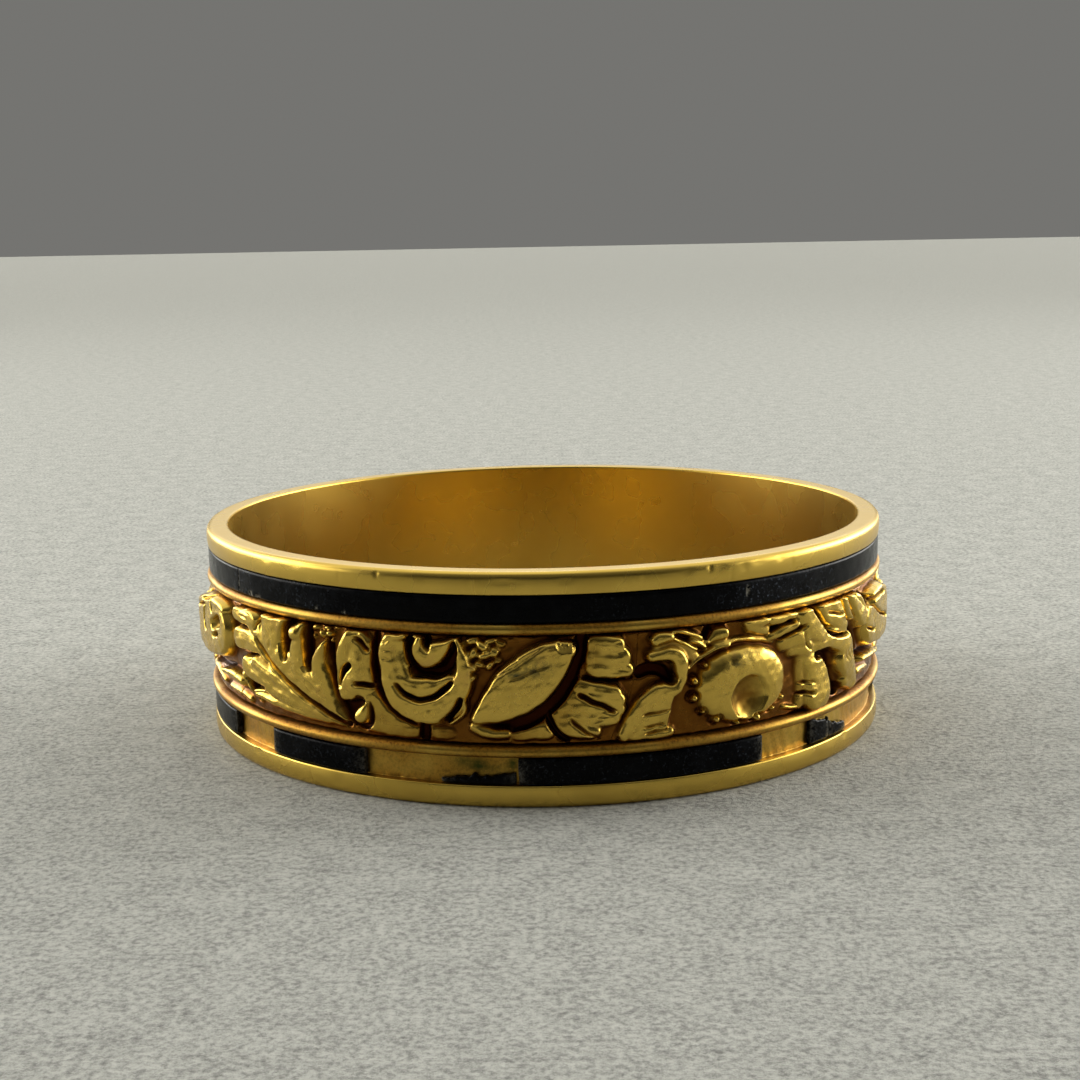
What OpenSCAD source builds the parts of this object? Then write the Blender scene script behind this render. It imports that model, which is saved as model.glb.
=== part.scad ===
// A gold finger ring lying on its side: plain rims, two enamel bands and a cast frieze of flowers and leaves.
// The origin is on the ring's axis at its lower rim. Angles round the ring run from its front, -Y, towards +X.

/* [Band] */
// Inside diameter, which is the finger size
bore_d = 18.0; // [15:0.1:22]
// Thickness of the gold at the plain rims
rim_wall = 0.60; // [0.5:0.01:0.9]
// Height of each plain rim
rim_h = 0.55; // [0.3:0.01:1.2]
// Rounding of the rims' outer edges
rim_round = 0.10; // [0.04:0.01:0.2]
// Rounding of the rims' inner edges
bore_round = 0.05; // [0.02:0.01:0.1]

/* [Enamel] */
// Height of each enamel channel
channel_h = 0.70; // [0.4:0.01:1.4]
// Depth of the channels below the rims
channel_deep = 0.24; // [0.15:0.01:0.3]
// How far the enamel's face lies below the rims
enamel_set = 0.02; // [0:0.01:0.06]
// Clearance between the enamel and the gold all round it
enamel_gap = 0.02; // [0.01:0.005:0.04]

/* [Fillets] */
// Thickness of the half-round wires between enamel and frieze
fillet_h = 0.28; // [0.2:0.01:0.5]
// How far the wires stand proud of the rims
fillet_proud = 0.03; // [0:0.01:0.1]

/* [Frieze] */
// Height of the cast frieze between the wires
frieze_h = 2.74; // [1.6:0.01:5]
// Thickness of the gold behind the frieze's ground
ground_wall = 0.28; // [0.2:0.01:0.4]
// How far the highest leaves stand proud of the rims
frieze_proud = 0.20; // [0:0.01:0.3]
// Width of the rounded edges of the leaves, as a share of the frieze's height
leaf_edge = 0.12; // [0.06:0.01:0.2]
// How many times the pattern goes round the ring
repeats = 2; // [1:1:3]

/* [Hidden] */

$fn = 96;
arc_steps = 6;
bore_r = bore_d / 2;
rim_r = bore_r + rim_wall;
channel_r = rim_r - channel_deep;
ground_r = bore_r + ground_wall;
leaf_r = rim_r + frieze_proud;
total_h = 2 * (rim_h + channel_h + fillet_h) + frieze_h;
frieze_z = rim_h + channel_h + fillet_h;

// The frieze's mesh: rows up its height, columns round one repeat
frieze_rows = 16;
columns = round(320 / repeats);
// It starts this far above its ground, and runs this far into the wires beside it and into the wall behind it
ground_film = 0.02;
side_lap = fillet_h / 3;
back_lap = ground_wall / 2;

// The lower enamel's surviving pieces. Columns: start angle, end angle, share of the channel's height that is left
LOWER_ENAMEL = [
    [84, 299.4, 1.0],
    [-47.9, -28.3, 1.0],
    [-15.9, -4.6, 0.35],
    [-4.3, 34.3, 1.0],
    [45.4, 50.7, 1.0],
    [51.0, 56.7, 0.5]];

// The frieze's lobes, one stroke each, on a curve with a start, a bend and an end. Columns: those three points, then
// the stroke's rise as a share of the full relief. A point's columns: the angle for two repeats in degrees, the share
// of the frieze's height, and the half width as such a share.
angle_of_repeat = 180;
LOBES = [
    // Flower half seen at the pattern's left end
    [[-59.4, 0.93, 0.07], [-63, 0.95, 0.09], [-67, 0.97, 0.07], 0.90],
    [[-60, 0.77, 0.06], [-63, 0.66, 0.10], [-71, 0.62, 0.10], 0.96],
    [[-62, 0.45, 0.14], [-67, 0.45, 0.15], [-77, 0.37, 0.12], 0.92],
    [[-58.6, 0.23, 0.06], [-62, 0.20, 0.07], [-71, 0.15, 0.06], 0.60],
    [[-65, 0.85, 0.08], [-71, 0.88, 0.11], [-79, 0.86, 0.10], 0.86],
    [[-72, 0.64, 0.08], [-79, 0.60, 0.12], [-87, 0.56, 0.10], 0.90],
    [[-75, 0.26, 0.10], [-81, 0.25, 0.12], [-89, 0.28, 0.10], 0.82],
    // Large leaf: its body, four lobes up to the right, then the lobes to the left
    [[-32, 0.12, 0.05], [-37, 0.38, 0.14], [-44.8, 0.60, 0.17], 0.76],
    [[-33.4, 0.22, 0.06], [-36, 0.50, 0.15], [-34, 0.85, 0.05], 0.82],
    [[-40.4, 0.50, 0.11], [-40.5, 0.70, 0.11], [-39.4, 0.89, 0.10], 0.88],
    [[-45.4, 0.60, 0.13], [-46.7, 0.78, 0.16], [-45.4, 0.93, 0.16], 0.92],
    [[-48.4, 0.72, 0.08], [-50.4, 0.87, 0.13], [-54.6, 0.93, 0.12], 0.92],
    [[-47, 0.62, 0.07], [-51, 0.71, 0.09], [-54.6, 0.69, 0.09], 0.90],
    [[-34, 0.13, 0.05], [-43, 0.31, 0.13], [-52.6, 0.46, 0.13], 0.86],
    [[-33, 0.08, 0.04], [-42, 0.14, 0.08], [-50.4, 0.19, 0.06], 0.74],
    // Turned leaf, its stem and its berry
    [[-29, 0.92, 0.09], [-31.4, 0.76, 0.11], [-30.6, 0.45, 0.13], 0.80],
    [[-27.8, 0.88, 0.09], [-27.8, 0.66, 0.12], [-28, 0.44, 0.13], 0.66],
    [[-30, 0.40, 0.11], [-26, 0.38, 0.13], [-22, 0.15, 0.14], 0.60],
    [[-27.6, 0.30, 0.03], [-27.8, 0.24, 0.09], [-28.1, 0.20, 0.09], 0.86],
    // Rose: outer petals round from the top left to the top right, the inner petal and the bud
    [[-20, 0.97, 0.06], [-25, 0.99, 0.13], [-22.9, 0.66, 0.13], 0.94],
    [[-22.9, 0.72, 0.13], [-23.6, 0.33, 0.14], [-17.6, 0.33, 0.14], 0.92],
    [[-18.5, 0.33, 0.14], [-14.6, 0.27, 0.14], [-12.5, 0.52, 0.11], 0.92],
    [[-12.5, 0.50, 0.11], [-11.3, 0.68, 0.10], [-12.6, 0.95, 0.04], 0.92],
    [[-22, 0.57, 0.07], [-18.2, 0.43, 0.14], [-13.9, 0.59, 0.05], 0.88],
    [[-18.2, 0.94, 0.05], [-18.6, 0.80, 0.10], [-14, 0.93, 0.06], 0.86],
    // Cluster of grains
    [[-10.5, 0.92, 0.06], [-9, 0.84, 0.10], [-7.4, 0.84, 0.08], 0.50],
    // Oval leaf, with the tail under it
    [[-10.2, 0.245, 0.05], [-3.3, 0.565, 0.41], [3, 0.87, 0.085], 0.92],
    [[-10.6, 0.15, 0.06], [-5, 0.10, 0.07], [0, 0.14, 0.08], 0.55],
    // Shell: four lobes from the top down
    [[6.6, 0.80, 0.17], [9, 0.80, 0.19], [10.8, 0.79, 0.18], 0.84],
    [[4.4, 0.46, 0.11], [7.5, 0.42, 0.16], [9.8, 0.42, 0.14], 0.86],
    [[2.4, 0.28, 0.10], [6.5, 0.26, 0.15], [9.4, 0.28, 0.12], 0.82],
    [[0.8, 0.18, 0.07], [4, 0.16, 0.11], [6.7, 0.12, 0.07], 0.64],
    // Curled leaf: its body, its turned edge and the lobes behind it
    [[11.4, 0.08, 0.07], [14, 0.30, 0.15], [16.4, 0.42, 0.12], 0.84],
    [[13.6, 0.10, 0.09], [16, 0.22, 0.14], [17, 0.42, 0.12], 0.88],
    [[15.2, 0.765, 0.06], [21.2, 0.86, 0.12], [19.1, 0.46, 0.06], 0.98],
    [[16.4, 0.91, 0.09], [19.4, 0.86, 0.12], [22.6, 0.76, 0.07], 0.74],
    [[18.8, 0.96, 0.05], [21.4, 0.94, 0.05], [24.2, 0.84, 0.05], 0.84],
    [[24.9, 0.88, 0.06], [26, 0.92, 0.08], [27.2, 0.91, 0.07], 0.74],
    // Petals above the button
    [[31.8, 0.93, 0.09], [33, 0.92, 0.10], [34.4, 0.90, 0.08], 0.82],
    [[36, 0.94, 0.09], [38, 0.95, 0.09], [40, 0.94, 0.08], 0.84],
    [[36.4, 0.80, 0.06], [38.4, 0.84, 0.06], [40.4, 0.87, 0.05], 0.84],
    [[38.6, 0.70, 0.08], [40.5, 0.73, 0.10], [42.4, 0.70, 0.10], 0.82],
    // Swirling leaves: the upper left plate, the lower lobe, the arm over it and the blades above
    [[42.8, 0.94, 0.12], [43.5, 0.80, 0.15], [46.6, 0.69, 0.12], 0.94],
    [[41.8, 0.60, 0.08], [43.6, 0.50, 0.13], [45.4, 0.40, 0.14], 0.84],
    [[43, 0.30, 0.12], [45, 0.30, 0.16], [47.2, 0.28, 0.15], 0.88],
    [[42.8, 0.14, 0.09], [45, 0.14, 0.12], [48, 0.15, 0.13], 0.88],
    [[46, 0.62, 0.09], [54.4, 0.70, 0.15], [54.1, 0.38, 0.15], 0.92],
    [[54, 0.40, 0.15], [55.5, 0.28, 0.145], [57.2, 0.14, 0.11], 0.86],
    [[47.8, 0.95, 0.12], [50.2, 0.87, 0.15], [53, 0.76, 0.09], 0.92],
    [[53.4, 0.97, 0.06], [54, 0.86, 0.07], [56.4, 0.77, 0.05], 0.90],
    // Far foliage up to the pattern's right end
    [[56, 0.96, 0.07], [58.4, 0.86, 0.10], [64, 0.82, 0.10], 0.92],
    [[60.6, 0.66, 0.12], [62.5, 0.58, 0.16], [69, 0.62, 0.14], 0.95],
    [[62, 0.46, 0.08], [66, 0.42, 0.11], [74, 0.44, 0.13], 0.90],
    [[60.6, 0.24, 0.07], [65, 0.24, 0.08], [73, 0.18, 0.05], 0.66],
    [[65, 0.93, 0.07], [70, 0.87, 0.11], [79, 0.82, 0.10], 0.88],
    [[70, 0.66, 0.09], [76, 0.66, 0.12], [86, 0.60, 0.10], 0.90],
    [[74, 0.40, 0.09], [81, 0.38, 0.13], [89, 0.34, 0.12], 0.90],
    [[77, 0.15, 0.06], [82, 0.15, 0.08], [89, 0.13, 0.06], 0.62]];

// Button flower: centre, half width and half height, then its dimple's centre, radius and depth, all as above
button_at = [30.3, 0.41];
button_size = [0.515, 0.355];
button_rise = 0.92;
button_dome = 0.08;
dimple_at = [30.7, 0.305];
dimple_r = 0.19;
dimple_deep = 0.42;

// Shares of the frieze's height in one degree of the two-repeat pattern
share_per_degree = (ground_r + leaf_r) / 2 * (2 / repeats) * PI / 180 / frieze_h;
lobe_steps = 4;

// Points of a quarter turn of radius r about [x, z], from angle a to angle b
function arc(x, z, r, a, b) =
    [for (i = [0:arc_steps]) let (t = a + (b - a) * i / arc_steps) [x + r * cos(t), z + r * sin(t)]];

function blend(p, t) = p[0] * (1 - t) * (1 - t) + 2 * p[1] * t * (1 - t) + p[2] * t * t;

// A lobe's centre line in shares, as points of [along, up, half width], moved on by some degrees
function lobe_line(row, moved) =
    [for (i = [0:lobe_steps])
        let (p = blend([row[0], row[1], row[2]], i / lobe_steps))
        [(p[0] + moved) * share_per_degree, p[1], p[2]]];

// How far a point lies inside the outline of one straight stretch of a lobe, below zero outside it
function stretch_cover(a, b, x, y) =
    let (dx = b[0] - a[0],
         dy = b[1] - a[1],
         q = max(0, min(1, ((x - a[0]) * dx + (y - a[1]) * dy) / (dx * dx + dy * dy + 1e-9))))
    a[2] + (b[2] - a[2]) * q - norm([x - a[0] - q * dx, y - a[1] - q * dy]);

function lobe_cover(line, x, y) =
    max([for (i = [1:lobe_steps]) stretch_cover(line[i - 1], line[i], x, y)]);

// Height of a rounded edge: nothing at the outline, full one edge width inside it
function edge_rise(inside) =
    let (e = max(0, min(1, inside / leaf_edge)))
    sqrt(1 - (1 - e) * (1 - e));

function button_height(x, y) =
    let (u = (x - button_at[0] * share_per_degree) / button_size[0],
         v = (y - button_at[1]) / button_size[1],
         d = sqrt(u * u + v * v),
         e = norm([x - dimple_at[0] * share_per_degree, y - dimple_at[1]]) / dimple_r)
    d >= 1 ? 0 : (button_rise + button_dome * (1 - d * d)) * sqrt(1 - pow(d, 8)) - dimple_deep * max(0, 1 - e * e);

// Heights up one column of the mesh, as shares of the relief. Lobes at an end of the pattern reach over into the next
// repeat, so each is also tried one repeat to either side.
function column_heights(angle) =
    let (x = angle * share_per_degree,
         near = [for (row = LOBES, moved = [-angle_of_repeat, 0, angle_of_repeat])
             let (w = max(row[0][2], row[1][2], row[2][2]) / share_per_degree,
                  low = min(row[0][0], row[1][0], row[2][0]) - w + moved,
                  high = max(row[0][0], row[1][0], row[2][0]) + w + moved)
             if (angle > low && angle < high) [lobe_line(row, moved), row[3]]])
    [for (j = [0:frieze_rows - 1])
        let (s = j / (frieze_rows - 1))
        j == 0 || j == frieze_rows - 1 ? 0 :
        max([0, button_height(x, s), for (lobe = near) lobe[1] * edge_rise(lobe_cover(lobe[0], x, s))])];

// Cross-section of the gold without the frieze's leaves, as one outline from the bore outwards
module band_section() {
    fillet_r = fillet_h / 2;
    fillet_x = rim_r + fillet_proud - fillet_r;
    low = concat(
        arc(bore_r + bore_round, bore_round, bore_round, 180, 270),
        arc(rim_r - rim_round, rim_round, rim_round, 270, 360),
        [[rim_r, rim_h], [channel_r, rim_h], [channel_r, rim_h + channel_h]],
        arc(fillet_x, rim_h + channel_h + fillet_r, fillet_r, 270, 450),
        [[ground_r, frieze_z]]);
    last = len(low) - 1;
    polygon(concat(low, [for (i = [0:last]) [low[last - i][0], total_h - low[last - i][1]]]));
}

// The cast leaves and flowers as one closed skin, let into the wires beside them and the wall behind them
module frieze() {
    profile = [for (i = [0:columns - 1]) column_heights(angle_of_repeat * (i / columns - 0.5))];
    count = columns * repeats;
    section = frieze_rows + 2;
    low = frieze_z - side_lap;
    high = frieze_z + frieze_h + side_lap;
    points = [for (i = [0:count - 1])
        let (turn = 360 * i / count - 180 / repeats,
             heights = profile[i % columns])
        each [for (j = [0:section - 1])
            let (on_face = j < frieze_rows,
                 r = on_face ? ground_r + ground_film + (leaf_r - ground_r - ground_film) * heights[j]
                             : ground_r - back_lap,
                 z = j == 0 || j == section - 1 ? low :
                     j == frieze_rows - 1 || j == frieze_rows ? high :
                     frieze_z + frieze_h * j / (frieze_rows - 1))
            [r * sin(turn), -r * cos(turn), z]]];
    // Each cell is split along the diagonal whose ends differ less in height, so that edges stay smooth
    faces = [for (i = [0:count - 1], j = [0:section - 1])
        let (i2 = (i + 1) % count,
             j2 = (j + 1) % section,
             on_face = j2 > 0 && j2 < frieze_rows,
             here = profile[i % columns],
             next = profile[i2 % columns],
             rising = on_face && abs(here[j] - next[j2]) > abs(next[j] - here[j2]),
             a = i * section + j,
             b = i2 * section + j,
             c = i2 * section + j2,
             d = i * section + j2)
        each rising ? [[a, d, b], [b, d, c]] : [[a, d, c], [a, c, b]]];
    polyhedron(points, faces, convexity = 8);
}

module band() {
    color("goldenrod")
    union() {
        rotate_extrude() band_section();
        frieze();
    }
}

// Enamel in a channel whose floor is at height z, from one angle to another, filling a share of its height
module enamel(z, from, to, share) {
    color("black")
    rotate([0, 0, from - 90])
    rotate_extrude(angle = to - from)
    translate([channel_r + enamel_gap, z + enamel_gap])
    square([channel_deep - enamel_set - enamel_gap, channel_h * share - 2 * enamel_gap]);
}

module enamel_upper() {
    color("black")
    rotate_extrude()
    translate([channel_r + enamel_gap, total_h - rim_h - channel_h + enamel_gap])
    square([channel_deep - enamel_set - enamel_gap, channel_h - 2 * enamel_gap]);
}

module enamel_lower(i) {
    enamel(rim_h, LOWER_ENAMEL[i][0], LOWER_ENAMEL[i][1], LOWER_ENAMEL[i][2]);
}

band();
enamel_upper();
enamel_lower(0);  // enamel_lower_1
enamel_lower(1);  // enamel_lower_2
enamel_lower(2);  // enamel_lower_3
enamel_lower(3);  // enamel_lower_4
enamel_lower(4);  // enamel_lower_5
enamel_lower(5);  // enamel_lower_6
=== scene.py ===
"""A gold mourning ring lying on its side: polished shank, cast and chased frieze, and worn black enamel."""
from functools import partial

import bpy
import numpy as np
from bpy.props import FloatProperty, FloatVectorProperty, PointerProperty
from bpy.types import Operator, Panel, PropertyGroup
from mathutils import Matrix, Vector


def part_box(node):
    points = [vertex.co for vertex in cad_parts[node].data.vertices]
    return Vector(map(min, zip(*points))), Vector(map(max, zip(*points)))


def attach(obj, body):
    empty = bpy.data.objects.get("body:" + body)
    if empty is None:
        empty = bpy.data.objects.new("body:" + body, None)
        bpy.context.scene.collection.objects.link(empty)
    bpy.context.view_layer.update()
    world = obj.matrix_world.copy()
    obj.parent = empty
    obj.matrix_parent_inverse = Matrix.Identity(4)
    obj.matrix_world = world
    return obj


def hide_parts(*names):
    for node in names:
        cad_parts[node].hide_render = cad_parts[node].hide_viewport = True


bl_info = {
    "name": "Mourning ring",
    "version": (1, 0, 0),
    "blender": (4, 5, 0),
    "location": "View3D > Sidebar > Ring",
    "description": "Builds a gold mourning ring with a floral frieze and two bands of black enamel",
    "category": "Add Mesh",
}

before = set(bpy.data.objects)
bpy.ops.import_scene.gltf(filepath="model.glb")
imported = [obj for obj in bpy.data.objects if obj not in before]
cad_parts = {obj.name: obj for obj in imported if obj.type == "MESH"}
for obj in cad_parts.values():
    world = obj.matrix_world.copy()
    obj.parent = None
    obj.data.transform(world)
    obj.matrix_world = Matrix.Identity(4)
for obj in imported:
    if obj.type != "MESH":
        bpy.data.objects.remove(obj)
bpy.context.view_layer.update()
BAND_LOW, BAND_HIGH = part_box("band")
MM = 0.001

# The cast pattern

# The frieze's pattern, worked from the face of the ring. It goes round twice. Angles are degrees round the
# ring from its front towards +X. Heights and widths are shares of the frieze's height, rises and depths are
# shares of its full relief. Each stroke follows a curve with a start, a bend and an end. Columns of a row:
# leaf: angle, height and half width at the start, the bend and the end, then the rise at the start and end
# groove: angle and height at the start, at the bend and at the end, then half width and depth
# hatch: angle and height at both ends of the first line, the same for the last line, count, half width, depth
# grain: angle, height, half length, half height, turn in degrees, rise
# button: none, it is drawn from the sizes below
PATTERN = [
("left blossom", "leaf", [
    [-63.4, 0.68, 0.27, -69.0, 0.66, 0.33, -74.5, 0.65, 0.26, 1.06, 1.24],
    [-61.0, 0.89, 0.05, -62.8, 0.93, 0.07, -66.0, 0.93, 0.06, 1.04, 1.14],
    [-60.8, 0.7, 0.04, -61.6, 0.62, 0.06, -63.0, 0.5, 0.06, 1.12, 1.08],
    [-64.0, 0.26, 0.045, -60.0, 0.29, 0.06, -56.0, 0.25, 0.055, 0.86, 0.84],
    [-54.9, 0.33, 0.05, -53.6, 0.22, 0.055, -51.3, 0.13, 0.04, 0.8, 0.56],
    [-63.0, 0.1, 0.04, -59.0, 0.12, 0.05, -54.8, 0.08, 0.045, 0.52, 0.5],
    [-75.0, 0.2, 0.03, -70.0, 0.17, 0.06, -66.0, 0.12, 0.03, 0.6, 0.56]]),
("left blossom", "groove", [
    [-62.4, 0.77, -63.6, 0.76, -65.4, 0.71, 0.062, 0.8],
    [-63.2, 0.63, -64.0, 0.625, -65.4, 0.6, 0.024, 0.5],
    [-65.8, 1.0, -66.2, 0.9, -65.6, 0.84, 0.018, 0.45],
    [-69.6, 0.86, -71.0, 0.74, -69.8, 0.62, 0.024, 0.55],
    [-70.5, 0.86, -73.0, 0.84, -76.0, 0.78, 0.016, 0.4],
    [-61.0, 0.34, -66.0, 0.28, -74.0, 0.245, 0.024, 0.6],
    [-67.0, 0.96, -69.0, 0.92, -71.5, 0.9, 0.014, 0.4]]),
("side rosette", "leaf", [
    [89.0, 0.67, 0.07, 89.0, 0.8, 0.165, 89.0, 0.885, 0.11, 0.72, 0.92],
    [91.1, 0.595, 0.07, 92.9, 0.66, 0.165, 94.3, 0.71, 0.11, 0.72, 0.92],
    [91.1, 0.445, 0.07, 92.9, 0.38, 0.165, 94.3, 0.33, 0.11, 0.72, 0.92],
    [89.0, 0.37, 0.07, 89.0, 0.24, 0.165, 89.0, 0.155, 0.11, 0.72, 0.92],
    [86.9, 0.595, 0.07, 85.1, 0.66, 0.165, 83.7, 0.71, 0.11, 0.72, 0.92],
    [86.9, 0.445, 0.07, 85.1, 0.38, 0.165, 83.7, 0.33, 0.11, 0.72, 0.92]]),
("side rosette", "groove", [
    [89.0, 0.68, 89.2, 0.78, 89.0, 0.87, 0.016, 0.3], [91.2, 0.6, 92.8, 0.67, 94.2, 0.7, 0.016, 0.3],
    [91.2, 0.44, 92.8, 0.39, 94.2, 0.34, 0.016, 0.3], [89.0, 0.36, 88.8, 0.26, 89.0, 0.17, 0.016, 0.3],
    [86.8, 0.6, 85.2, 0.67, 83.8, 0.7, 0.016, 0.3], [86.8, 0.44, 85.2, 0.39, 83.8, 0.34, 0.016, 0.3]]),
("side rosette", "grain", [
    [89.0, 0.52, 0.095, 0.095, 0, 0.98],
    [87.9, 0.585, 0.025, 0.025, 0, 0.8], [90.1, 0.585, 0.025, 0.025, 0, 0.8],
    [87.9, 0.455, 0.025, 0.025, 0, 0.8], [90.1, 0.455, 0.025, 0.025, 0, 0.8]]),
("side leaves", "leaf", [
    [96.6, 0.46, 0.05, 98.6, 0.62, 0.15, 101.0, 0.66, 0.06, 0.7, 0.96],
    [92.6, 0.89, 0.05, 96.4, 0.89, 0.11, 100.8, 0.86, 0.05, 0.7, 0.62],
    [92.8, 0.13, 0.05, 97.0, 0.15, 0.12, 102.6, 0.2, 0.06, 0.7, 0.52],
    [96.4, 0.42, 0.05, 99.2, 0.34, 0.12, 103.0, 0.36, 0.06, 0.72, 0.94],
    [81.6, 0.54, 0.05, 80.0, 0.44, 0.13, 79.2, 0.36, 0.06, 0.7, 0.94],
    [85.4, 0.89, 0.05, 82.6, 0.89, 0.11, 79.0, 0.86, 0.06, 0.7, 0.62],
    [81.4, 0.62, 0.05, 80.6, 0.72, 0.11, 79.2, 0.72, 0.06, 0.7, 0.94],
    [85.2, 0.13, 0.05, 81.0, 0.15, 0.12, 76.2, 0.2, 0.06, 0.7, 0.52]]),
("side leaves", "groove", [
    [97.0, 0.49, 98.8, 0.6, 101.0, 0.66, 0.018, 0.35], [93.2, 0.89, 96.4, 0.9, 100.4, 0.9, 0.018, 0.35],
    [93.6, 0.13, 97.2, 0.14, 102.0, 0.16, 0.018, 0.35], [81.4, 0.52, 80.0, 0.44, 79.4, 0.38, 0.018, 0.35],
    [84.8, 0.89, 82.2, 0.9, 79.4, 0.88, 0.018, 0.35], [84.4, 0.13, 81.0, 0.14, 77.0, 0.16, 0.018, 0.35]]),
("acanthus", "leaf", [
    [-31.5, 0.12, 0.03, -37.0, 0.38, 0.13, -44.8, 0.6, 0.17, 0.58, 0.86],
    [-32.9, 0.2, 0.04, -36.2, 0.45, 0.15, -36.0, 0.66, 0.075, 0.62, 0.84],
    [-36.0, 0.4, 0.1, -38.6, 0.48, 0.09, -41.5, 0.56, 0.1, 0.76, 0.84],
    [-35.9, 0.58, 0.08, -36.2, 0.75, 0.065, -33.8, 0.855, 0.02, 0.82, 0.94],
    [-40.4, 0.5, 0.1, -40.6, 0.7, 0.105, -39.2, 0.885, 0.1, 0.84, 0.88],
    [-45.4, 0.6, 0.12, -46.7, 0.78, 0.15, -45.8, 0.94, 0.17, 0.86, 0.88],
    [-45.2, 0.82, 0.1, -43.8, 0.93, 0.09, -42.3, 0.985, 0.045, 0.86, 0.94],
    [-48.2, 0.7, 0.06, -50.2, 0.87, 0.13, -52.5, 0.93, 0.1, 0.86, 0.92],
    [-50.6, 0.87, 0.08, -53.0, 0.93, 0.11, -55.6, 0.93, 0.095, 0.88, 0.98],
    [-46.6, 0.59, 0.08, -51.0, 0.715, 0.125, -55.3, 0.69, 0.12, 0.84, 0.96],
    [-34.0, 0.13, 0.04, -42.0, 0.32, 0.1, -50.5, 0.49, 0.085, 0.6, 0.92],
    [-33.0, 0.1, 0.03, -44.0, 0.25, 0.13, -53.2, 0.44, 0.108, 0.58, 0.93],
    [-32.0, 0.09, 0.03, -42.0, 0.14, 0.075, -50.9, 0.195, 0.044, 0.54, 0.84]]),
("acanthus turned tips", "leaf", [
    [-51.4, 0.215, 0.018, -48.6, 0.275, 0.028, -44.6, 0.225, 0.008, 0.97, 0.82],
    [-54.4, 0.485, 0.02, -52.0, 0.555, 0.026, -48.5, 0.53, 0.01, 0.99, 0.92]]),
("acanthus curled tip", "grain", [
    [-40.1, 0.88, 0.112, 0.098, 12, 1.06]]),
("acanthus", "groove", [
    [-49.8, 0.74, -43.6, 0.365, -31.0, 0.09, 0.026, 0.5],
    [-41.0, 1.03, -43.6, 0.88, -42.9, 0.63, 0.04, 1.0],
    [-38.0, 0.98, -38.6, 0.77, -38.2, 0.57, 0.04, 1.0],
    [-57.0, 0.815, -55.0, 0.825, -52.2, 0.815, 0.014, 0.7],
    [-49.1, 1.0, -49.1, 0.93, -49.9, 0.83, 0.018, 0.4],
    [-56.2, 0.566, -54.0, 0.572, -49.2, 0.585, 0.013, 0.6],
    [-54.2, 0.31, -51.5, 0.29, -48.5, 0.275, 0.022, 0.6],
    [-53.6, 0.28, -52.4, 0.24, -51.9, 0.14, 0.042, 0.95],
    [-33.6, 1.02, -35.1, 0.55, -30.0, 0.1, 0.02, 0.8]]),
("acanthus", "hatch", [
    [-54.8, 0.93, -51.6, 0.9, -54.6, 0.98, -51.2, 0.95, 2, 0.008, 0.12],
    [-46.4, 0.66, -45.8, 0.78, -44.6, 0.64, -44.4, 0.76, 2, 0.008, 0.1]]),
("turned leaf", "leaf", [
    [-30.0, 0.93, 0.06, -31.7, 0.78, 0.08, -31.2, 0.6, 0.08, 0.88, 0.78],
    [-28.8, 0.89, 0.1, -29.2, 0.7, 0.15, -29.4, 0.45, 0.14, 0.66, 0.74],
    [-31.6, 0.6, 0.05, -32.0, 0.5, 0.06, -31.0, 0.39, 0.08, 0.77, 0.74],
    [-27.8, 0.86, 0.09, -27.6, 0.65, 0.1, -27.5, 0.46, 0.1, 0.6, 0.62],
    [-30.0, 0.9, 0.06, -29.0, 0.93, 0.07, -27.6, 0.88, 0.06, 0.78, 0.64],
    [-31.0, 0.4, 0.08, -27.4, 0.42, 0.1, -24.4, 0.22, 0.13, 0.72, 0.5],
    [-27.2, 0.14, 0.09, -23.0, 0.14, 0.12, -20.0, 0.11, 0.09, 0.5, 0.44]]),
("rose outer petals", "leaf", [
    [-19.4, 0.985, 0.035, -24.6, 1.0, 0.11, -22.9, 0.66, 0.1, 0.98, 0.92],
    [-22.9, 0.74, 0.1, -23.4, 0.33, 0.13, -17.6, 0.33, 0.14, 0.92, 0.92],
    [-21.9, 0.92, 0.06, -22.2, 0.72, 0.09, -20.6, 0.6, 0.06, 0.84, 0.84],
    [-18.5, 0.33, 0.14, -14.6, 0.27, 0.14, -12.5, 0.52, 0.105, 0.92, 0.92],
    [-12.5, 0.5, 0.1, -11.0, 0.68, 0.1, -12.8, 0.97, 0.018, 0.9, 0.96],
    [-11.6, 0.78, 0.02, -10.8, 0.72, 0.03, -10.2, 0.69, 0.018, 0.92, 0.86],
    [-11.8, 0.6, 0.03, -11.0, 0.58, 0.036, -10.3, 0.62, 0.018, 0.86, 0.8]]),
("rose inner petal", "leaf", [
    [-22.0, 0.585, 0.065, -18.2, 0.43, 0.14, -13.9, 0.6, 0.055, 0.9, 0.86]]),
("rose hollow", "groove", [
    [-19.6, 1.02, -20.8, 0.62, -17.2, 0.655, 0.034, 1.0],
    [-17.2, 0.655, -13.8, 0.62, -13.2, 0.9, 0.042, 1.0]]),
("rose lip", "leaf", [
    [-20.9, 0.93, 0.014, -21.1, 0.79, 0.018, -20.2, 0.7, 0.014, 0.96, 0.9]]),
("rose bud", "leaf", [
    [-18.3, 0.96, 0.035, -19.2, 0.8, 0.09, -17.0, 0.785, 0.095, 0.95, 0.82],
    [-17.4, 0.785, 0.095, -15.6, 0.84, 0.125, -13.5, 0.955, 0.02, 0.8, 0.92]]),
("rose and turned leaf", "groove", [
    [-17.6, 1.02, -17.4, 0.95, -17.2, 0.86, 0.022, 0.5],
    [-21.9, 0.53, -18.2, 0.27, -13.6, 0.58, 0.022, 0.7],
    [-14.9, 0.225, -13.3, 0.28, -12.3, 0.43, 0.026, 0.85],
    [-31.0, 0.26, -29.9, 0.2, -28.6, 0.33, 0.06, 0.75],
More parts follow.
